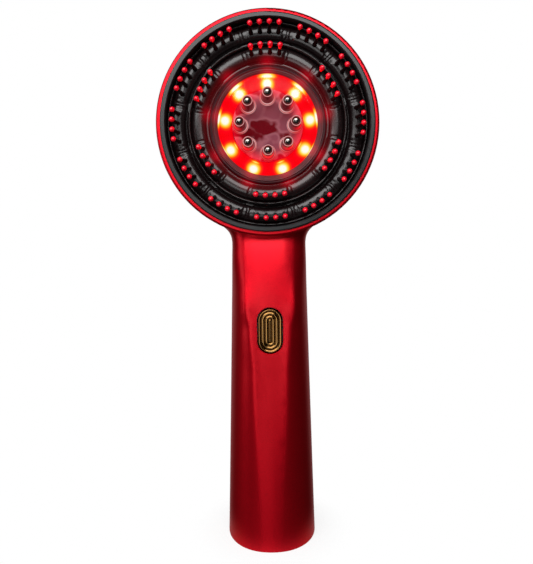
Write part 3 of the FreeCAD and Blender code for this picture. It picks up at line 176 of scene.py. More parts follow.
class Finishes(bpy.types.PropertyGroup):
    """Colours of the visible surfaces and of the red light."""
    paint: colour("Paint", "Red metallic lacquer", "#D20A1E")
    paint_deep: colour("Paint flakes", "Red between the flakes", "#B40516")
    # Black silicone rubber; its faint red tint is painted light, standing in for the ring's red glow on the
    # pad.
    silicone: colour("Silicone", "Black silicone rubber", "#13090A")
    tip: colour("Bristle tips", "Red silicone rubber", "#E00626")
    ring: colour("Rim ring", "Dark grey moulded plastic", "#17191A")
    gold: colour("Button plating", "Gold plating", "#7E5A28")
    steel: colour("Roller balls", "Polished steel", "#8E8680")
    lip: colour("Window lip", "Dark smoky silicone rubber", "#26161A")
    cloud: colour("Cup cloud", "Clouded part of the cup's face", "#6E3844")
    serum: colour("Cup serum", "Wet part of the cup's face", "#560812")
    film: colour("Cup film", "Pale line round a wet patch", "#825059")
    glow: colour("Lamp glow", "Red of the lit channel", "#FB0318")
    chip: colour("Chip light", "Red that a chip throws out", "#FF3027")
    # Painted glow: the cup's red emission stands in for light that runs in from its edge.
    painted_edge_glow: colour("Cup edge glow", "Red light that runs into the cup from its edge", "#F00228")
    # Painted glow: the lip's red emission stands in for the light of the ring.
    painted_lip_glow: colour("Lip glow", "Red light that the window's lip catches", "#AC0016")
    # Painted glow: the pad's red emission stands in for the light of the ring.
    painted_pad_glow: colour("Pad glow", "Red light that the pad catches", "#AE0015")


class StageSizes(bpy.types.PropertyGroup):
    """Place of the camera and strength of the lamps."""
    distance: length("Camera distance", "Distance of the lens in front of the shells' joint", 0.23)
    height: length("Camera height", "Height of the lens", 0.126)
    aside: length("Camera shift", "Sideways place of the lens", -0.00115)
    pitch: degrees("Pitch", "How far the camera looks down", 5.0)
    roll: degrees("Roll", "Turn of the camera about its view", -0.68)
    lens: amount("Lens", "Focal length in millimetres", 35.3)
    key: amount("Key lamp", "Power of the large soft lamp", 9.8)
    front: amount("Front lamp", "Power of the soft lamp beside the lens", 0.8)
    fill: amount("Fill lamp", "Power of the side lamp", 1.0)
    ambient: amount("Ambient", "Strength of the room's light", 0.08)
    shadow_near: length("Shadow near", "Radius at which the floor begins to melt into the room", 0.013)
    shadow_far: length("Shadow far", "Radius at which the floor has melted into the room", 0.036)


def node(tree, kind, inputs=None, stops=None, **settings):
    """Add a node with its settings. An input is a value or a socket to link, and stops fill a ramp."""
    made = tree.nodes.new(kind)
    for name, value in settings.items():
        setattr(made, name, value)
    for name, value in (inputs or {}).items():
        if isinstance(value, bpy.types.NodeSocket):
            tree.links.new(value, made.inputs[name])
        else:
            made.inputs[name].default_value = value
    if stops:
        elements = made.color_ramp.elements
        while len(elements) < len(stops):
            elements.new(0.5)
        for element, (place, shade) in zip(elements, stops):
            element.position = place
            element.color = shade
    return made


def material(name):
    """A material without nodes, and its tree."""
    made = bpy.data.materials.new(name)
    made.use_nodes = True
    made.node_tree.nodes.clear()
    return made, made.node_tree


def paint_finish(shades):
    """ABS sprayed with red metallic lacquer: flakes under a satin clear coat give a broad soft
    highlight that falls off quickly to deep red at the sides."""
    made, tree = material("red_metallic_lacquer_on_abs")
    where = node(tree, "ShaderNodeTexCoord").outputs["Object"]
    # Flakes are about 0.05 mm across: drawn at 0.3 mm so that they show as a faint grain.
    flakes = node(tree, "ShaderNodeTexVoronoi", {"Vector": where, "Scale": 1 / (0.3 * MM)}, feature="F1")
    shade = node(tree, "ShaderNodeValToRGB", {"Fac": flakes.outputs["Distance"]},
                 [(0.0, shades.paint), (1.0, shades.paint_deep)])
    grain = node(tree, "ShaderNodeBump", {"Height": flakes.outputs["Distance"], "Strength": 0.035,
                                          "Distance": 0.05 * MM})
    # Spray leaves a slow unevenness of about 6 mm in the gloss.
    cloud = node(tree, "ShaderNodeTexNoise", {"Vector": where, "Scale": 1 / (6 * MM), "Detail": 3.0})
    gloss = node(tree, "ShaderNodeMapRange", {"Value": cloud.outputs["Fac"], "To Min": 0.38, "To Max": 0.44})
    shader = node(tree, "ShaderNodeBsdfPrincipled", {
        "Base Color": shade.outputs["Color"], "Metallic": 0.9, "Roughness": gloss.outputs["Result"],
        "Normal": grain.outputs["Normal"], "Specular Tint": linear("#A01018"), "Coat Weight": 0.16,
        "Coat Roughness": 0.28})
    node(tree, "ShaderNodeOutputMaterial", {"Surface": shader.outputs["BSDF"]})
    return made


def moulded(name, shade, rough, grit, spread=0.06, extra=None):
    """A moulded plastic or rubber: the mould's fine spark texture, grit in millimetres, breaks up the gloss
    by the spread."""
    made, tree = material(name)
    where = node(tree, "ShaderNodeTexCoord").outputs["Object"]
    spark = node(tree, "ShaderNodeTexNoise", {"Vector": where, "Scale": 1 / (grit * MM), "Detail": 4.0})
    gloss = node(tree, "ShaderNodeMapRange", {"Value": spark.outputs["Fac"], "To Min": rough - spread,
                                              "To Max": rough + spread})
    grain = node(tree, "ShaderNodeBump", {"Height": spark.outputs["Fac"], "Strength": 0.12,
                                          "Distance": 0.05 * MM})
    shader = node(tree, "ShaderNodeBsdfPrincipled", {
        "Base Color": shade, "Roughness": gloss.outputs["Result"], "Normal": grain.outputs["Normal"],
        **(extra or {})})
    node(tree, "ShaderNodeOutputMaterial", {"Surface": shader.outputs["BSDF"]})
    return made


def metal(name, shade, rough, streak, extra=None):
    """A worked metal: fine marks, their spacing in millimetres, vary its gloss."""
    made, tree = material(name)
    where = node(tree, "ShaderNodeTexCoord").outputs["Object"]
    marks = node(tree, "ShaderNodeTexNoise", {"Vector": where, "Scale": 1 / (streak * MM), "Detail": 5.0})
    gloss = node(tree, "ShaderNodeMapRange", {"Value": marks.outputs["Fac"], "To Min": rough * 0.7,
                                              "To Max": rough * 1.4})
    shader = node(tree, "ShaderNodeBsdfPrincipled", {
        "Base Color": shade, "Metallic": 1.0, "Roughness": gloss.outputs["Result"], **(extra or {})})
    node(tree, "ShaderNodeOutputMaterial", {"Surface": shader.outputs["BSDF"]})
    return made


def paint_glow_in(finish, light):
    """Paint a glow into a finish as emission in a light's colour, by the share that its mesh keeps as glow."""
    tree = finish.node_tree
    shader = tree.nodes["Principled BSDF"]
    shader.inputs["Emission Color"].default_value = light
    share = node(tree, "ShaderNodeAttribute", attribute_name="glow").outputs["Fac"]
    tree.links.new(share, shader.inputs["Emission Strength"])


def dress(finish, *names):
    """Give CAD nodes a finish."""
    for name in names:
        slots = NODES[name].data.materials
        slots.clear()
        slots.append(finish)


def quads(rows, columns, wrap_rows, wrap_columns):
    """Corner numbers of a grid's quads, closing on itself in each wrapped direction."""
    row, column = np.meshgrid(np.arange(rows if wrap_rows else rows - 1),
                              np.arange(columns if wrap_columns else columns - 1), indexing="ij")
    here = row * columns
    below = (row + 1) % rows * columns
    beside = (column + 1) % columns
    corners = [here + column, here + beside, below + beside, below + column]
    return np.stack(corners, axis=-1).reshape(-1, 4)


def turned(profile, sides, loop=False):
    """A profile of radius and height carried round the local upright axis: at the angle t a row lies at
    radius cos t, radius sin t, height. A loop closes on itself, other profiles end on the axis."""
    radius, height = np.asarray(profile, float).T
    angle = np.linspace(0, 2 * np.pi, sides, endpoint=False)
    points = np.stack([radius[:, None] * np.cos(angle), radius[:, None] * np.sin(angle),
                       np.repeat(height[:, None], sides, axis=1)], axis=-1)
    return points.reshape(-1, 3), quads(len(radius), sides, loop, True)


def copies(points, faces, angles, circle, depth, lean=0.0):
    """Copies of a local shape round the head: each is leant outwards about its foot, set on the circle at
    the depth and turned by its angle. Returned in the head's across, up, depth."""
    along, aside, up = points.T
    radial = circle + along * math.cos(lean) + up * math.sin(lean)
    rise = depth - along * math.sin(lean) + up * math.cos(lean)
    angle = np.asarray(angles)[:, None]
    placed = np.stack([radial * np.cos(angle) - aside * np.sin(angle),
                       radial * np.sin(angle) + aside * np.cos(angle),
                       np.repeat(rise[None, :], len(angle), axis=0)], axis=-1)
    shift = np.arange(len(angle))[:, None, None] * len(points)
    return placed.reshape(-1, 3), (faces[None] + shift).reshape(-1, faces.shape[1])


def in_head(points):
    """The head's across, up and depth as the object's X, Z and -Y."""
    return np.stack([points[:, 0], -points[:, 2], HEAD_HEIGHT + points[:, 1]], axis=-1)


def joined(parts):
    """Several point and face arrays as one."""
    points = np.concatenate([part[0] for part in parts])
    starts = np.cumsum([0] + [len(part[0]) for part in parts[:-1]])
    return points, np.concatenate([part[1] + start for part, start in zip(parts, starts)])


def shaped(name, points, faces, finish, crease):
    """A mesh object in place: doubles at poles and seams are merged, faces turned outwards and edges
    sharper than the crease, in degrees, kept sharp."""
    mesh = bpy.data.meshes.new(name)
    mesh.from_pydata(points.tolist(), [], faces.tolist())
    work = bmesh.new()
    work.from_mesh(mesh)
    bmesh.ops.remove_doubles(work, verts=work.verts, dist=WELD)
    bmesh.ops.recalc_face_normals(work, faces=work.faces)
    work.to_mesh(mesh)
    work.free()
    mesh.shade_smooth()
    mesh.set_sharp_from_angle(angle=math.radians(crease))
    mesh.materials.append(finish)
    made = bpy.data.objects.new(name, mesh)
    bpy.context.scene.collection.objects.link(made)
    return made


def piece(name, points, faces, finish, body, slot, replaced=(), crease=40.0):
    """A piece of the massager, which rides on the body and stands for the CAD nodes that it replaces."""
    made = shaped(name, points, faces, finish, crease)
    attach(made, body)
    if replaced:
        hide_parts(*replaced)
    return made


def places(mesh):
    """A mesh's points as radius and angle about the head's axis, and depth."""
    points = np.empty(len(mesh.vertices) * 3)
    mesh.vertices.foreach_get("co", points)
    across, along, up = points.reshape(-1, 3).T
    up = up - HEAD_HEIGHT
    return np.hypot(across, up), np.arctan2(up, across), -along


def store(mesh, name, values):
    """Keep one number per point on the mesh."""
    mesh.attributes.new(name, "FLOAT", "POINT").data.foreach_set("value", values.astype(np.float32))


def evenly(number, start=TOP):
    """Angles of places spread evenly round the face from the start."""
    return start + np.arange(number) * 2 * np.pi / number


def from_nearest(angle, number, start=TOP):
    """Turn of each angle from the nearest of the places that evenly gives."""
    pitch = 2 * np.pi / number
    return (angle - start + pitch / 2) % pitch - pitch / 2


def ease(value, low, high):
    """A smooth step from 0 at low to 1 at high."""
    share = np.clip((value - low) / (high - low), 0, 1)
    return share * share * (3 - 2 * share)


def bell(distance, reach):
    """A bell curve: 1 at no distance and e to the power of -1 at the reach."""
    return np.exp(-(distance / reach) ** 2)


# Turned line of the pad in millimetres, radius and depth, from its bore to its edge: the groove of
# the inner pods, the raised step, the groove of the outer pods and the edge ridge.
PAD_LINE = np.array([
    (22.2, 15.1), (22.45, 15.6), (28.85, 15.6), (29.05, 17.1), (29.3, 17.6), (29.55, 17.75), (29.8, 17.6),
    (30.0, 17.1), (30.25, 14.4), (36.85, 14.4), (37.1, 16.0), (37.35, 16.5), (37.7, 16.5), (38.0, 16.1),
    (38.1, 15.8)])
PAD_ROWS = 104
PAD_COLUMNS = 900
GROOVE_PLACE = 0.15 * MM
GROOVE_REACH = 0.2 * MM
# Bristles: rows along the shaft, flare at the root and how fast it dies away, in shares of the length.
SHAFT_ROWS = np.array([0.0, 0.06, 0.12, 0.2, 0.32, 0.6, 1.0])
SHAFT_SIDES = 14
ROOT_FLARE = 0.45 * MM
FLARE_SHARE = 0.07
# Tips: rows of the sleeve and of the ball, how far below the ball's middle the sleeve's rows end, in shares of
# its radius, and the angle from its pole at which the ball's rows start; how far the ball is sunk into the
# bristle's end, and what the sleeve adds to the bristle's radius at its lower edge and again up to the ball.
TIP_SIDES = 18
SLEEVE_ROWS = 6
BALL_ROWS = 11
SLEEVE_END = 0.9
BALL_START = 0.5
TIP_SINK = 0.6 * MM
SLEEVE_EDGE = 0.06 * MM
SLEEVE_FLARE = 0.12 * MM
# Places of the four bristles on a pod, in steps of their pitch from its middle.
ON_POD = np.array([-1.5, -0.5, 0.5, 1.5])


def pod_rise(size, radius, angle, circle, pods, pod_length, half, rise):
    """Rise of the pods over the pad's line: a quarter circle of the distance inside a rounded
    rectangle that lies along the circle; and the fine groove cut just outside it."""
    along = np.abs(from_nearest(angle, pods, size.first_pod)) * circle
    across = np.abs(radius - circle)
    over_along = along - (pod_length / 2 - size.pod_corner)
    over_across = across - (half - size.pod_corner)
    outside = np.hypot(np.maximum(over_along, 0), np.maximum(over_across, 0))
    outside += np.minimum(np.maximum(over_along, over_across), 0) - size.pod_corner
    inside = np.clip(-outside / half, 0, 1)
    dome = rise * np.sqrt(1 - (1 - inside) ** 2)
    return dome, size.groove * bell(outside - GROOVE_PLACE, GROOVE_REACH)


def bead_rise(radius, circle, half, rise):
    """Rise of a round bead along the circle: a half ellipse of the distance across it."""
    across = np.clip(np.abs(radius - circle) / half, 0, 1)
    return rise * np.sqrt(1 - across ** 2)


def pad_surface(size):
    """The pad's skin, one loop of rows carried round the head: across the face the depth is the turned
    line plus the higher of beads and pods, less their grooves; then down the edge, under and up the bore."""
    radius = np.linspace(size.bore, size.edge, PAD_ROWS)
    line = np.interp(radius / MM, *PAD_LINE.T) * MM
    ends = np.pad(line, 1, mode="edge")
    line = (ends[:-2] + 2 * ends[1:-1] + ends[2:]) / 4
    angle = np.linspace(0, 2 * np.pi, PAD_COLUMNS, endpoint=False)
    rings = radius[:, None]
    inner, inner_cut = pod_rise(size, rings, angle, size.inner_circle, size.inner_pods, size.inner_length,
                                size.inner_half, size.inner_rise)
    outer, outer_cut = pod_rise(size, rings, angle, size.outer_circle, size.outer_pods, size.outer_length,
                                size.outer_half, size.outer_rise)
    inner = np.maximum(inner, bead_rise(rings, size.inner_circle, size.inner_half, size.inner_bead))
    outer = np.maximum(outer, bead_rise(rings, size.outer_circle, size.outer_half, size.outer_bead))
    face = line[:, None] + np.maximum(inner, outer) - inner_cut - outer_cut
    depth = np.concatenate([face, np.full((2, PAD_COLUMNS), size.seat)])
    radius = np.concatenate([radius, [size.edge, size.bore]])[:, None]
    points = np.stack([radius * np.cos(angle), radius * np.sin(angle), depth], axis=-1).reshape(-1, 3)
    return in_head(points), quads(PAD_ROWS + 2, PAD_COLUMNS, True, True)


def bristle_surface(size, reach):
    """One bristle: a radius that flares at the root and tapers evenly to the end, carried up its axis."""
    flare = ROOT_FLARE * np.exp(-SHAFT_ROWS / FLARE_SHARE)
    radius = size.root_radius + (size.end_radius - size.root_radius) * SHAFT_ROWS + flare
    height = np.concatenate([[0], SHAFT_ROWS, [1]]) * reach
    return turned(np.stack([np.concatenate([[0], radius, [0]]), height], axis=-1), SHAFT_SIDES)


def tip_surface(size, centre, sleeve):
    """One tip: a ball blended by fourth powers with a thin sleeve that runs down the bristle."""
    height = np.concatenate([np.linspace(-sleeve, -SLEEVE_END * size.tip_radius, SLEEVE_ROWS),
                             -size.tip_radius * np.cos(np.linspace(BALL_START, np.pi, BALL_ROWS))])
    ball = np.sqrt(np.maximum(size.tip_radius ** 2 - height ** 2, 0))
    share = np.clip((height + sleeve) / sleeve, 0, 1)
    thin = (size.end_radius + SLEEVE_EDGE + SLEEVE_FLARE * share ** 2) * (height < 0)
    radius = (ball ** 4 + thin ** 4) ** 0.25
    height = np.concatenate([[-sleeve], height]) + centre
    return turned(np.stack([np.concatenate([[0], radius]), height], axis=-1), TIP_SIDES)


class MASSAGER_OT_bristle_pad(bpy.types.Operator):
    """Model the black silicone pad with its pods, its bristles and their red tips"""
    bl_idname = "massager.bristle_pad"
    bl_label = "Bristle pad"

    def execute(self, context):
        size = context.scene.massager_pad
        shades = context.scene.massager_finishes
        # Liquid silicone moulded in a polished tool: wet black gloss with soft lights on each round. By the
        # window a red glow is painted into it as emission, in place of the red of the lights.
        rubber = moulded("black_silicone_rubber_moulded", shades.silicone, rough=0.26, grit=0.8, spread=0.05,
                         extra={"Specular IOR Level": 0.45})
        paint_glow_in(rubber, shades.painted_pad_glow)
        pad = piece("silicone_pad", *pad_surface(size), rubber, "housing", "black_silicone",
                    ["massage_pad"], crease=50)
        store(pad.data, "glow", painted_caught_glow(context.scene.massager_lights, pad.data, *PAINTED_PAD_GLOW))
        shafts = []
        tips = []
        for ring in ("outer", "inner"):
            pods, pitch, circle, root, lean, reach, sleeve = (
                getattr(size, "%s_%s" % (ring, what))
                for what in ("pods", "pitch", "circle", "root", "lean", "bristle", "sleeve"))
            angles = (evenly(pods, size.first_pod)[:, None] + pitch * ON_POD).ravel()
            shafts.append(copies(*bristle_surface(size, reach), angles, circle, root, lean))
            centre = reach + size.tip_radius - TIP_SINK
            tips.append(copies(*tip_surface(size, centre, sleeve), angles, circle, root, lean))
        points, faces = joined(shafts)
        piece("bristle_shafts", in_head(points), faces, rubber, "housing", "black_silicone")
        # Second shot of coloured silicone over the bristle's end: bright, glossy and a little waxy.
        cap = moulded("red_silicone_rubber_overmoulded", shades.tip, rough=0.28, grit=0.5, spread=0.04,
                      extra={"Specular IOR Level": 0.6})
        points, faces = joined(tips)
        piece("bristle_tips", in_head(points), faces, cap, "housing", "red_silicone",
              ["outer_bristle_tips", "inner_bristle_tips"])
        return {"FINISHED"}


# Lip of the window in millimetres, radius and depth: two round ridges, two fine ones on the bevel down to its
# inner edge and a seat that is cut back behind the edge.
LIP_LINE = np.array([
    (20.9, 13.2), (22.0, 13.2), (22.0, 16.6), (21.92, 16.92), (21.7, 17.08), (21.5, 16.95), (21.4, 16.72),
    (21.28, 16.68), (21.18, 16.82), (21.08, 17.1), (20.9, 17.26), (20.7, 17.2), (20.5, 16.98), (20.34, 16.78),
    (20.24, 16.76), (20.12, 16.82), (19.98, 16.78), (19.8, 16.56), (19.7, 16.52), (19.58, 16.57),
    (19.44, 16.52), (19.2, 16.3), (18.97, 16.16), (18.95, 16.02), (19.2, 15.75), (19.6, 15.5), (19.9, 15.2),
    (20.9, 15.2)])
LIP_SIDES = 256
# Channel: rows across its face, sides round it, flat lands left at the bore and at the outer edge, and
# widths of the steep inner wall, measured from the bore, and of the flared outer wall.
CHANNEL_ROWS = 48
CHANNEL_SIDES = 360
BORE_LAND = 0.2 * MM
EDGE_LAND = 0.1 * MM
INNER_WALL = 1.0 * MM
OUTER_WALL = 2.0 * MM
FLARE_POWER = 0.8
DOME_ROWS = 9
DOME_SIDES = 24
DOME_STEM = 0.7 * MM
# Light that the channel's walls throw back, in millimetres: radii at which it starts and is full, its reach
# along the ring and in depth, and its share of the light over a chip.
OUTER_SHINE = {"start": 18.2, "full": 18.9, "reach": 3.7, "deep": 1.9, "share": 0.95}
INNER_SHINE = {"start": 14.9, "full": 14.5, "reach": 2.0, "deep": 1.4, "share": 0.74}
SHINE_DEPTH = 12.0
# Painted light, standing in for red light that the rubber catches: its share all round the ring, its reach
# along the ring at each chip, and the radii between which it fades on the lip and on the pad.
ALL_ROUND = 0.16
CAUGHT_REACH = 2.5 * MM
PAINTED_LIP_GLOW = (18.5 * MM, 23 * MM)
PAINTED_PAD_GLOW = (21.5 * MM, 27 * MM)


def wall_shine(radius, along, depth, start, full, reach, deep, share):
    """Light on a wall of the channel: a smooth step of the radius, times bells along the ring and in depth."""
    spot = bell(along, reach * MM) * bell(depth - SHINE_DEPTH * MM, deep * MM)
    return share * ease(radius, start * MM, full * MM) * spot


def chip_glow(size, mesh):
    """Glow of each point of the lit channel, 1 over a chip: a bell of the distance along and across the
    ring on the floor, and the light on the outer and the inner wall."""
    radius, angle, depth = places(mesh)
    along = from_nearest(angle, size.lamps) * radius
    floor = bell(along, size.spread_along) * bell(radius - size.glow_circle, size.spread_across)
    walls = np.maximum(wall_shine(radius, along, depth, **OUTER_SHINE),
                       wall_shine(radius, along, depth, **INNER_SHINE))
    return np.maximum(floor, walls)


def painted_caught_glow(size, mesh, near, far):
    """Painted red light, standing in for the light that rubber beside the ring catches: a small share all round
    and the rest in a bell along the ring at each chip, fading from the near radius to the far one."""
    radius, angle = places(mesh)[:2]
    along = from_nearest(angle, size.lamps) * radius
    return (ALL_ROUND + (1 - ALL_ROUND) * bell(along, CAUGHT_REACH)) * (1 - ease(radius, near, far))


def channel_surface(size):
    """The white channel, a closed line carried round the head: its face runs down the steep inner wall, over
    the floor and up the flared outer wall, with a smooth step of the radius for each wall."""
    back, front = -CHANNEL_HIGH.y, -CHANNEL_LOW.y
    inner, outer = size.channel_bore, CHANNEL_HIGH.x
    across = np.linspace(inner + BORE_LAND, outer - EDGE_LAND, CHANNEL_ROWS)
    rise = np.maximum(1 - ease(across, inner + BORE_LAND, inner + INNER_WALL),
                      ease(across, outer - OUTER_WALL, outer) ** FLARE_POWER)
    sunk = (front - back - size.channel_floor) * (1 - rise)
    face = np.stack([across, front - sunk], axis=-1)
    rest = [(outer, front), (outer, back), (inner, back), (inner, front)]
    return turned(np.concatenate([face, rest]), CHANNEL_SIDES, True)


def dome_surface(size):
    """One resin dome: a quarter ellipse over a short stem, carried round its axis."""
    turn = np.linspace(0, np.pi / 2, DOME_ROWS)
    arch = np.stack([size.dome_radius * np.sin(turn), size.dome_rise * np.cos(turn)], axis=-1)
    stem = [(size.dome_radius, -DOME_STEM), (0, -DOME_STEM)]
    return turned(np.concatenate([arch, stem]), DOME_SIDES)


def channel_finish(size, shades):
    """White polycarbonate flooded with red light: the chips burn out to yellow and white."""
    made, tree = material("white_polycarbonate_moulded_lit")
    heat = node(tree, "ShaderNodeAttribute", attribute_name="glow").outputs["Fac"]
    ramp = node(tree, "ShaderNodeValToRGB", {"Fac": heat},
                [(0.0, linear("#F4020C")), (0.16, shades.glow), (0.32, linear("#FF3A0C")),
                 (0.48, linear("#FFA41C")), (0.66, linear("#FFE65C")), (0.86, linear("#FFFDF2"))])
    shader = node(tree, "ShaderNodeBsdfPrincipled", {
        "Base Color": linear("#300204"), "Roughness": 0.6, "Specular IOR Level": 0.0,
        "Emission Color": ramp.outputs["Color"], "Emission Strength": size.strength})
    node(tree, "ShaderNodeOutputMaterial", {"Surface": shader.outputs["BSDF"]})
    return made


def window_finish():
    """Clear acrylic, polished in the tool: seen straight through, with a thin gloss over it."""
    made, tree = material("clear_acrylic_ring_moulded")
    through = node(tree, "ShaderNodeBsdfTransparent")
    gloss = node(tree, "ShaderNodeBsdfGlossy", {"Roughness": 0.04})
    edge = node(tree, "ShaderNodeFresnel", {"IOR": 1.12})
    mixed = node(tree, "ShaderNodeMixShader", {"Fac": edge.outputs["Fac"], 1: through.outputs["BSDF"],
                                               2: gloss.outputs["BSDF"]})
    node(tree, "ShaderNodeOutputMaterial", {"Surface": mixed.outputs["Shader"]})
    return made


def chip_lamp(name, size, shades, angle):
    """The red light that one chip throws out on the pieces round it."""
    data = bpy.data.lights.new(name, "POINT")
    data.color = shades.chip[:3]
    data.energy = size.spill
    data.shadow_soft_size = size.lamp_size
    made = bpy.data.objects.new(name, data)
    made.location = (size.lamp_circle * math.cos(angle), -size.lamp_depth,
                     HEAD_HEIGHT + size.lamp_circle * math.sin(angle))
    made.visible_camera = False
    made.visible_glossy = False
    bpy.context.scene.collection.objects.link(made)


class MASSAGER_OT_light_ring(bpy.types.Operator):
    """Model the lit channel behind the ring window, and the ribbed lip round it"""
    bl_idname = "massager.light_ring"
    bl_label = "Light ring"

    def execute(self, context):
        size = context.scene.massager_lights
        shades = context.scene.massager_finishes
        lit = channel_finish(size, shades)
        points, faces = channel_surface(size)
        channel = piece("light_channel", in_head(points), faces, lit, "housing", "white_plastic",
                        ["light_reflector"])
        store(channel.data, "glow", chip_glow(size, channel.data))
        # Resin domes over the chips stand on the channel's floor, in the channel's own light.
        floor = -CHANNEL_HIGH.y + size.channel_floor
        points, faces = copies(*dome_surface(size), evenly(size.lamps), size.lamp_circle, floor)
        domes = piece("chip_domes", in_head(points), faces, lit, "housing", "white_plastic", ["light_chips"])
        store(domes.data, "glow", chip_glow(size, domes.data))
        for number, angle in enumerate(evenly(size.lamps), 1):
            chip_lamp("chip_glow_%d" % number, size, shades, angle)
        dress(window_finish(), "light_window")
        # Smoky silicone moulded in a polished tool: a dim grey, with a red glow painted in as emission in place
        # of the red of the lights.
        smoke = moulded("smoky_silicone_rubber_moulded", shades.lip, rough=0.42, grit=0.8, spread=0.04,
                        extra={"Specular IOR Level": 0.4})
        paint_glow_in(smoke, shades.painted_lip_glow)
        points, faces = turned(LIP_LINE * MM, LIP_SIDES, True)
        lip = piece("window_lip", in_head(points), faces, smoke, "housing", "black_silicone",
                    ["window_gasket"])
        store(lip.data, "glow", painted_caught_glow(size, lip.data, *PAINTED_LIP_GLOW))
        return {"FINISHED"}


CUP_RINGS = 24
CUP_SIDES = 160
NOZZLE_SIDES = 40
# Painted light, standing in for light that runs in from the cup's edge: the radii at which it dies out and is
# full, and its falling off.
PAINTED_EDGE_LIGHT = (8 * MM, 13.6 * MM)
EDGE_POWER = 1.6
# Painted light of a nozzle, in millimetres and in shares of its ramp: heights over which the body's light comes
# up, and goes below the rim; the body's least light and what the outer side adds; the rim's light; radius,
# width and light of the two foot rings, and how much of it the outer side keeps.
BODY_FOOT = (1.3, 2.4)
BODY_TOP = (-1.0, -0.4)
BODY_LEAST = 0.22
BODY_OUTER = 0.42
RIM_TOP = (-0.3, -0.05)
RIM_EDGE = (1.5, 1.66)
PAINTED_RIM_LIGHT = 0.88
UPPER_RING = (2.64, 0.3, 0.95)
LOWER_RING = (3.06, 0.24, 0.9)
UPPER_RING_TOP = 1.5
OUTER_KEEPS = 0.7
NEAR_AXIS = 0.1


def cup_surface(size):
    """The cup, a line carried round its axis: over the flat face and its small bevel, down the side, and up the
    bore to the inside of the face."""
    bore = size.radius - size.wall
    inside = size.face - size.plate
    rings = np.linspace(0, size.radius - size.chamfer, CUP_RINGS)
    face = np.stack([rings, np.full_like(rings, size.face)], axis=-1)
    rest = [(size.radius, size.face - size.chamfer), (size.radius, size.back), (bore, size.back),
            (bore, inside), (0, inside)]
    return turned(np.concatenate([face, rest]), CUP_SIDES)


def nozzle_surface(size):
    """One nozzle, a closed line in millimetres, radius and height over the cup's face, carried round its axis:
    up the bore and the ball's seat, over the rim, down the body and over two foot rings."""
    tall = (size.tip - size.face) / MM
    line = np.array([
        (0.8, -0.6), (0.8, tall - 1.75), (1.2, tall - 1.45), (1.56, tall - 0.5), (1.6, tall - 0.1),
        (1.7, tall), (1.82, tall - 0.04), (1.93, tall - 0.2), (2.0, tall - 0.6), (2.12, tall - 3.0),
        (2.3, 2.2), (2.36, 1.5), (2.5, 1.3), (2.66, 1.22), (2.74, 1.05), (2.76, 0.6), (2.86, 0.48),
        (3.05, 0.4), (3.12, 0.25), (3.12, -0.6)])
    return turned(line * MM, NOZZLE_SIDES, True)


def painted_nozzle_light(size, mesh):
    """Painted light of each point of the nozzles, along the ramp of their finish: smooth steps of the height
    bound the red glow on the body, stronger on the side away from the cup's middle, and the pale highlight on
    the rim; bells of the distance from the nozzle's axis give the two pale foot rings, stronger towards the
    middle."""
    radius, angle, depth = places(mesh)
    turn = from_nearest(angle, size.nozzles)
    outward = (radius * np.cos(turn) - size.circle) / MM
    reach = np.hypot(outward, radius * np.sin(turn) / MM)
    height = (depth - size.face) / MM
    below_tip = (depth - size.tip) / MM
    outer = 0.5 + 0.5 * outward / np.maximum(reach, NEAR_AXIS)
    body = ease(height, *BODY_FOOT) * (1 - ease(below_tip, *BODY_TOP)) * (BODY_LEAST + BODY_OUTER * outer)
    rim = PAINTED_RIM_LIGHT * ease(below_tip, *RIM_TOP) * ease(reach, *RIM_EDGE)
    kept = 1 - (1 - OUTER_KEEPS) * outer
    upper, lower = (share * kept * bell(reach - ring, width)
                    for ring, width, share in (UPPER_RING, LOWER_RING))
    return np.maximum.reduce([body, rim, upper * (height < UPPER_RING_TOP), lower * (height > 0)])


def cup_finish(shades):
    """Clear polycarbonate, moulded and fogged by use: serum wets it from behind in dark patches, the rest is a
    milky film, and a red glow painted in as emission stands in for the ring's light running in from the edge."""
    made, tree = material("clear_polycarbonate_moulded_wet")
    where = node(tree, "ShaderNodeTexCoord").outputs["Object"]
    # Wet patches are about 5 mm across.
    patch = node(tree, "ShaderNodeTexNoise", {"Vector": where, "Scale": 1 / (5.6 * MM), "Detail": 1.4,
                                              "Roughness": 0.42})
    film = node(tree, "ShaderNodeValToRGB", {"Fac": patch.outputs["Fac"]},
                [(0.4, shades.serum), (0.43, shades.serum), (0.5, shades.film), (0.58, shades.cloud)])
    gloss = node(tree, "ShaderNodeMapRange", {"Value": patch.outputs["Fac"], "From Min": 0.4, "From Max": 0.6,
                                              "To Min": 0.12, "To Max": 0.34})
    lit = node(tree, "ShaderNodeAttribute", attribute_name="edge_light").outputs["Fac"]
    glow = node(tree, "ShaderNodeMix", {"Factor": lit, "A": linear("#000000"), "B": shades.painted_edge_glow},
                data_type="RGBA")
    shader = node(tree, "ShaderNodeBsdfPrincipled", {
        "Base Color": film.outputs["Color"], "Roughness": gloss.outputs["Result"],
        "Specular IOR Level": 0.06, "Emission Color": glow.outputs["Result"], "Emission Strength": 0.5})
    node(tree, "ShaderNodeOutputMaterial", {"Surface": shader.outputs["BSDF"]})
    return made


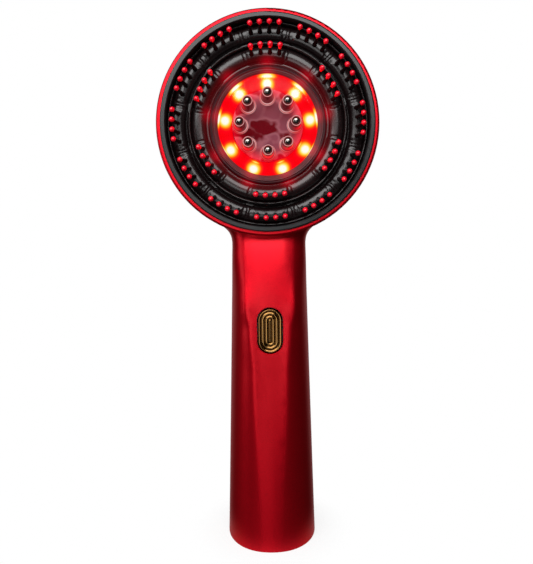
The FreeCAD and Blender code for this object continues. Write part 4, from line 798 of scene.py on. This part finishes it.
def nozzle_finish():
    """Clear polycarbonate, moulded: seen through at the front, with painted pale highlights at the rims and
    foot rings and a painted red glow where the body catches the lights."""
    made, tree = material("clear_polycarbonate_nozzle_moulded")
    caught = node(tree, "ShaderNodeAttribute", attribute_name="caught_light").outputs["Fac"]
    # Painted light as emission: from none through a red glow to pale highlights, by the painted share.
    shine = node(tree, "ShaderNodeValToRGB", {"Fac": caught},
                 [(0.0, linear("#000000")), (0.3, linear("#4A0208")), (0.6, linear("#F00A16")),
                  (0.8, linear("#C48C8C")), (1.0, linear("#EFE0DE"))])
    shader = node(tree, "ShaderNodeBsdfPrincipled", {
        "Base Color": linear("#3C3336"), "Roughness": 0.12, "Specular IOR Level": 0.3,
        "Emission Color": shine.outputs["Color"], "Emission Strength": 1.0})
    facing = node(tree, "ShaderNodeLayerWeight", {"Blend": 0.35}).outputs["Facing"]
    rim = node(tree, "ShaderNodeMapRange", {"Value": facing, "To Min": 0.1, "To Max": 0.9})
    solid = node(tree, "ShaderNodeMath", {0: rim.outputs["Result"], 1: caught}, operation="MAXIMUM")
    through = node(tree, "ShaderNodeBsdfTransparent", {"Color": linear("#F2DCDC")})
    mixed = node(tree, "ShaderNodeMixShader", {"Fac": solid.outputs["Value"], 1: through.outputs["BSDF"],
                                               2: shader.outputs["BSDF"]})
    node(tree, "ShaderNodeOutputMaterial", {"Surface": mixed.outputs["Shader"]})
    return made


class MASSAGER_OT_serum_cup(bpy.types.Operator):
    """Model the clear cup and its eight nozzles, and finish the roller balls"""
    bl_idname = "massager.serum_cup"
    bl_label = "Serum cup"

    def execute(self, context):
        size = context.scene.massager_cup
        shades = context.scene.massager_finishes
        points, faces = cup_surface(size)
        cup = piece("cup_body", in_head(points), faces, cup_finish(shades), "cup", "clear_plastic",
                    ["applicator_cup"])
        # A painted red glow, standing in for light that runs in from the edge.
        store(cup.data, "edge_light", ease(places(cup.data)[0], *PAINTED_EDGE_LIGHT) ** EDGE_POWER)
        points, faces = copies(*nozzle_surface(size), evenly(size.nozzles), size.circle, size.face)
        nozzles = piece("cup_nozzles", in_head(points), faces, nozzle_finish(), "cup", "clear_plastic")
        store(nozzles.data, "caught_light", painted_nozzle_light(size, nozzles.data))
        # Bearing steel, ground and polished: a dark mirror with one small bright light.
        ball = metal("bearing_steel_polished", shades.steel, rough=0.14, streak=0.6)
        dress(ball, *[name for name in NODES if name.startswith("roller_ball_")])
        return {"FINISHED"}


# Button: rows from its edge to its middle bar, points round each end, slit left at the middle, how far the
# ribs start in from the edge, their roundness, width and drop of the rounded edge, and depth of its side.
BUTTON_ROWS = 96
END_POINTS = 40
SLIT = 0.02 * MM
RIB_START = 0.28 * MM
RIB_ROUND = 0.97
EDGE_WIDTH = 0.35 * MM
EDGE_DROP = 0.45 * MM
SIDE_DEPTH = 1.2 * MM


def button_surface(size):
    """The button: rings of a slot outline shrunk inwards by the distance d. The depth over d is a row of
    round ribs, the square root of one less the square of the place across a rib, on a rounded edge;
    the outermost rings run down the side to the foot. Quads across the slot close the middle and the foot."""
    inward = np.linspace(0, 1, BUTTON_ROWS) * (size.half_width - SLIT)
    phase = ((inward + RIB_START) / size.rib_pitch) % 1.0
    rib = np.sqrt(np.maximum(1 - RIB_ROUND * (2 * phase - 1) ** 2, 0))
    edge = ease(inward, 0, EDGE_WIDTH)
    depth = size.face - size.rib_rise * (1 - rib) - EDGE_DROP * (1 - np.sqrt(edge))
    inward = np.concatenate([[0, 0], inward])
    depth = np.concatenate([[size.face - size.foot, size.face - SIDE_DEPTH], depth])
    reach = size.half_length - size.half_width
    turn = np.linspace(0, np.pi, END_POINTS)
    angle = np.concatenate([turn, turn + np.pi])
    shift = np.repeat([reach, -reach], END_POINTS)
    radius = (size.half_width - inward)[:, None]
    points = np.stack([radius * np.cos(angle), np.repeat(-depth[:, None], len(angle), axis=1),
                       size.centre + shift + radius * np.sin(angle)], axis=-1)
    left = np.arange(END_POINTS - 1)
    right = len(angle) - 1 - left
    across = np.stack([left, left + 1, right - 1, right], axis=-1)
    middle = (len(inward) - 1) * len(angle)
    faces = np.concatenate([quads(len(inward), len(angle), False, True), middle + across, across])
    return points.reshape(-1, 3), faces


class MASSAGER_OT_power_button(bpy.types.Operator):
    """Model the ribbed gold power button"""
    bl_idname = "massager.power_button"
    bl_label = "Power button"

    def execute(self, context):
        shades = context.scene.massager_finishes
        # Zinc casting with polished gold plating: dark mirror with hard bright lights on the ribs.
        gold = metal("zinc_casting_gold_plated", shades.gold, rough=0.08, streak=1.2,
                     extra={"Coat Weight": 0.4, "Coat Roughness": 0.05})
        points, faces = button_surface(context.scene.massager_button)
        piece("ribbed_button", points, faces, gold, "button", "gold_plating", ["power_button"], crease=60)
        return {"FINISHED"}


class MASSAGER_OT_shells(bpy.types.Operator):
    """Finish the painted shells, the base and the grey rim ring"""
    bl_idname = "massager.shells"
    bl_label = "Painted shells"

    def execute(self, context):
        shades = context.scene.massager_finishes
        dress(paint_finish(shades), "front_shell", "rear_shell", "base_cap")
        # Dark grey ABS with a fine eroded mould texture: a satin that is pale only towards the key lamp.
        satin = moulded("grey_abs_moulded", shades.ring, rough=0.33, grit=0.4,
                        extra={"Specular IOR Level": 0.4})
        dress(satin, "rim_ring")
        return {"FINISHED"}


class MASSAGER_OT_inner_works(bpy.types.Operator):
    """Finish the motor, the boards, the battery, the socket and the other hidden pieces"""
    bl_idname = "massager.inner_works"
    bl_label = "Inner works"

    def execute(self, context):
        # ABS with a fine eroded mould texture: dull black.
        dress(moulded("black_abs_moulded", linear("#141415"), rough=0.45, grit=0.5),
              "head_frame", "motor_clamp", "switch_body", "switch_plunger", "board_parts", "charge_contacts")
        # Zinc plating on turned steel: a pale blurred shine.
        dress(metal("steel_zinc_plated", linear("#A9ABAE"), rough=0.3, streak=0.4),
              "base_screws", "frame_screws", "clamp_screws", "board_screws")
        # Drawn steel sheet: a grey shine with fine marks of the die.
        dress(metal("steel_deep_drawn", linear("#A2A4A8"), rough=0.32, streak=0.25),
              "motor_can", "motor_shaft", "eccentric_weight", "charge_socket", "positive_tab", "negative_tab")
        # Glass cloth in epoxy under solder mask: a glossy deep green.
        dress(moulded("glass_epoxy_with_solder_mask", linear("#0F5A2C"), rough=0.35, grit=0.3),
              "light_board", "control_board")
        # Shrunk film: a smooth bright blue with soft slow ripples.
        dress(moulded("blue_pvc_shrink_film", linear("#1D4E86"), rough=0.25, grit=2.0), "battery_cell")
        # Extruded insulation: a soft red shine.
        dress(moulded("red_pvc_extruded", linear("#9C1414"), rough=0.42, grit=0.4),
              "battery_leads", "motor_leads", "light_leads")
        # Moulded nylon: a warm waxy white.
        dress(moulded("white_nylon_moulded", linear("#D9D6CF"), rough=0.4, grit=0.5), "motor_cap")
        # The pad's own rubber.
        dress(bpy.data.materials["black_silicone_rubber_moulded"], "filler_plug", "cup_seal")
        # Polycarbonate moulded clear: seen through, with a faint pink from the serum.
        dress(moulded("clear_polycarbonate_lid_moulded", linear("#E6D2D4"), rough=0.2, grit=1.0,
                      extra={"Transmission Weight": 0.8}), "cup_lid")
        return {"FINISHED"}


# Floor: radii of its rings from the edge to the middle, so that it faces up, and the share of its own shade
# that it keeps for the shadow.
FLOOR_RADII = (0.3, 0.2, 0.1, 0.05, 0)
FLOOR_SIDES = 96
SHADOW_SHARE = 0.2


def shiny_rays(tree):
    """Light Path's outputs, and a socket that is 1 for the rays of metal and glass."""
    path = node(tree, "ShaderNodeLightPath").outputs
    shiny = node(tree, "ShaderNodeMath", {0: path["Is Glossy Ray"], 1: path["Is Transmission Ray"]},
                 operation="MAXIMUM")
    return path, shiny.outputs["Value"]


def studio_room(size):
    """The room: white to the camera, and behind the object for metal and glass; dim elsewhere."""
    world = bpy.data.worlds.new("studio_room")
    world.use_nodes = True
    tree = world.node_tree
    tree.nodes.clear()
    path, shiny = shiny_rays(tree)
    way = node(tree, "ShaderNodeSeparateXYZ",
               {"Vector": node(tree, "ShaderNodeTexCoord").outputs["Generated"]})
    behind = node(tree, "ShaderNodeMapRange", {"Value": way.outputs["Y"], "From Min": 0.6, "From Max": 0.95,
                                               "To Min": size.ambient * 0.5, "To Max": 1.0})
    unseen = node(tree, "ShaderNodeMix", {"Factor": shiny, "A": size.ambient, "B": behind.outputs["Result"]})
    strength = node(tree, "ShaderNodeMath", {0: path["Is Camera Ray"], 1: unseen.outputs["Result"]},
                    operation="MAXIMUM")
    background = node(tree, "ShaderNodeBackground", {"Color": linear("#FFFFFF"),
                                                     "Strength": strength.outputs["Value"]})
    node(tree, "ShaderNodeOutputWorld", {"Surface": background.outputs["Background"]})
    return world


def card_finish(size):
    """Coated white card: white to the eye and in metal and glass, it keeps a share of its shade for the shadow,
    and melts into the white room from the near radius to the far one."""
    made, tree = material("white_card_coated")
    path, shiny = shiny_rays(tree)
    seen = node(tree, "ShaderNodeMath", {0: path["Is Camera Ray"], 1: shiny}, operation="MAXIMUM")
    share = node(tree, "ShaderNodeMath", {0: seen.outputs["Value"], 1: 1 - SHADOW_SHARE},
                 operation="MULTIPLY")
    shader = node(tree, "ShaderNodeBsdfPrincipled", {"Base Color": linear("#F4F4F4"), "Roughness": 0.7})
    white = node(tree, "ShaderNodeEmission", {"Color": linear("#FFFFFF"), "Strength": 1.0})
    shaded = node(tree, "ShaderNodeMixShader", {"Fac": share.outputs["Value"], 1: shader.outputs["BSDF"],
                                                2: white.outputs["Emission"]})
    where = node(tree, "ShaderNodeTexCoord").outputs["Object"]
    away = node(tree, "ShaderNodeVectorMath", {0: where}, operation="LENGTH")
    edge = node(tree, "ShaderNodeMapRange", {"Value": away.outputs["Value"], "From Min": size.shadow_near,
                                             "From Max": size.shadow_far}, interpolation_type="SMOOTHSTEP")
    clear = node(tree, "ShaderNodeBsdfTransparent")
    mixed = node(tree, "ShaderNodeMixShader", {"Fac": edge.outputs["Result"], 1: shaded.outputs["Shader"],
                                               2: clear.outputs["BSDF"]})
    node(tree, "ShaderNodeOutputMaterial", {"Surface": mixed.outputs["Shader"]})
    return made


def softbox(name, place, target, sides, power):
    """A soft rectangular lamp turned towards a point."""
    data = bpy.data.lights.new(name, "AREA")
    data.shape = "RECTANGLE"
    data.size, data.size_y = sides
    data.energy = power
    made = bpy.data.objects.new(name, data)
    made.location = place
    made.rotation_euler = (Vector(target) - Vector(place)).to_track_quat("-Z", "Y").to_euler()
    bpy.context.scene.collection.objects.link(made)


def photo_camera(size):
    """The camera in front of the object, looking down by the pitch."""
    data = bpy.data.cameras.new("photo_camera")
    data.lens = size.lens
    data.sensor_width = 36.0
    data.clip_start = 0.01
    made = bpy.data.objects.new("photo_camera", data)
    made.matrix_world = (Matrix.Translation((size.aside, -size.distance, size.height))
                         @ Matrix.Rotation(math.pi / 2 - size.pitch, 4, "X")
                         @ Matrix.Rotation(size.roll, 4, "Z"))
    bpy.context.scene.collection.objects.link(made)
    return made


class MASSAGER_OT_studio(bpy.types.Operator):
    """Set up the white floor, the soft lamps and the camera"""
    bl_idname = "massager.studio"
    bl_label = "Studio"

    def execute(self, context):
        scene = context.scene
        size = scene.massager_stage
        scene.view_settings.view_transform = "Standard"
        scene.world = studio_room(size)
        points, faces = turned([(radius, 0) for radius in FLOOR_RADII], FLOOR_SIDES)
        floor = shaped("studio_floor", points, faces, card_finish(size), crease=40)
        softbox("key_softbox", place=(-0.14, -0.62, 0.57), target=(0, 0, 0.14), sides=(1.0, 0.5),
                power=size.key)
        softbox("front_softbox", place=(-0.14, -0.75, 0.03), target=(0, 0, 0.09), sides=(0.3, 0.26),
                power=size.front)
        softbox("side_softbox", place=(-0.75, -0.2, 0.2), target=(0, 0, 0.1), sides=(0.3, 0.6),
                power=size.fill)
        scene.camera = photo_camera(size)
        return {"FINISHED"}


class MASSAGER_PT_dressing(bpy.types.Panel):
    """Lists the operators that dress the massager, and their sizes and colours"""
    bl_idname = "MASSAGER_PT_dressing"
    bl_label = "Scalp massager"
    bl_space_type = "VIEW_3D"
    bl_region_type = "UI"
    bl_category = "Massager"

    def draw(self, context):
        for operator in OPERATORS:
            self.layout.operator(operator.bl_idname)
        for group in GROUPS:
            box = self.layout.box()
            settings = getattr(context.scene, group)
            for name in settings.bl_rna.properties.keys():
                if name not in ("rna_type", "name"):
                    box.prop(settings, name)


OPERATORS = (MASSAGER_OT_bristle_pad, MASSAGER_OT_light_ring, MASSAGER_OT_serum_cup, MASSAGER_OT_power_button,
             MASSAGER_OT_shells, MASSAGER_OT_inner_works, MASSAGER_OT_studio)
GROUPS = {"massager_pad": PadSizes, "massager_lights": LightSizes, "massager_cup": CupSizes,
          "massager_button": ButtonSizes, "massager_finishes": Finishes, "massager_stage": StageSizes}


def register():
    """Register the groups of sizes, the operators and the panel."""
    for group in GROUPS.values():
        bpy.utils.register_class(group)
    for name, group in GROUPS.items():
        setattr(bpy.types.Scene, name, PointerProperty(type=group))
    for operator in OPERATORS:
        bpy.utils.register_class(operator)
    bpy.utils.register_class(MASSAGER_PT_dressing)


def unregister():
    """Take back what register does, in reverse order."""
    bpy.utils.unregister_class(MASSAGER_PT_dressing)
    for operator in reversed(OPERATORS):
        bpy.utils.unregister_class(operator)
    for name in GROUPS:
        delattr(bpy.types.Scene, name)
    for group in reversed(GROUPS.values()):
        bpy.utils.unregister_class(group)


def main():
    """Dress the frame piece by piece."""
    register()
    bpy.ops.massager.bristle_pad()
    bpy.ops.massager.light_ring()
    bpy.ops.massager.serum_cup()
    bpy.ops.massager.power_button()
    bpy.ops.massager.shells()
    bpy.ops.massager.inner_works()
    bpy.ops.massager.studio()


if __name__ == "__main__":
    main()
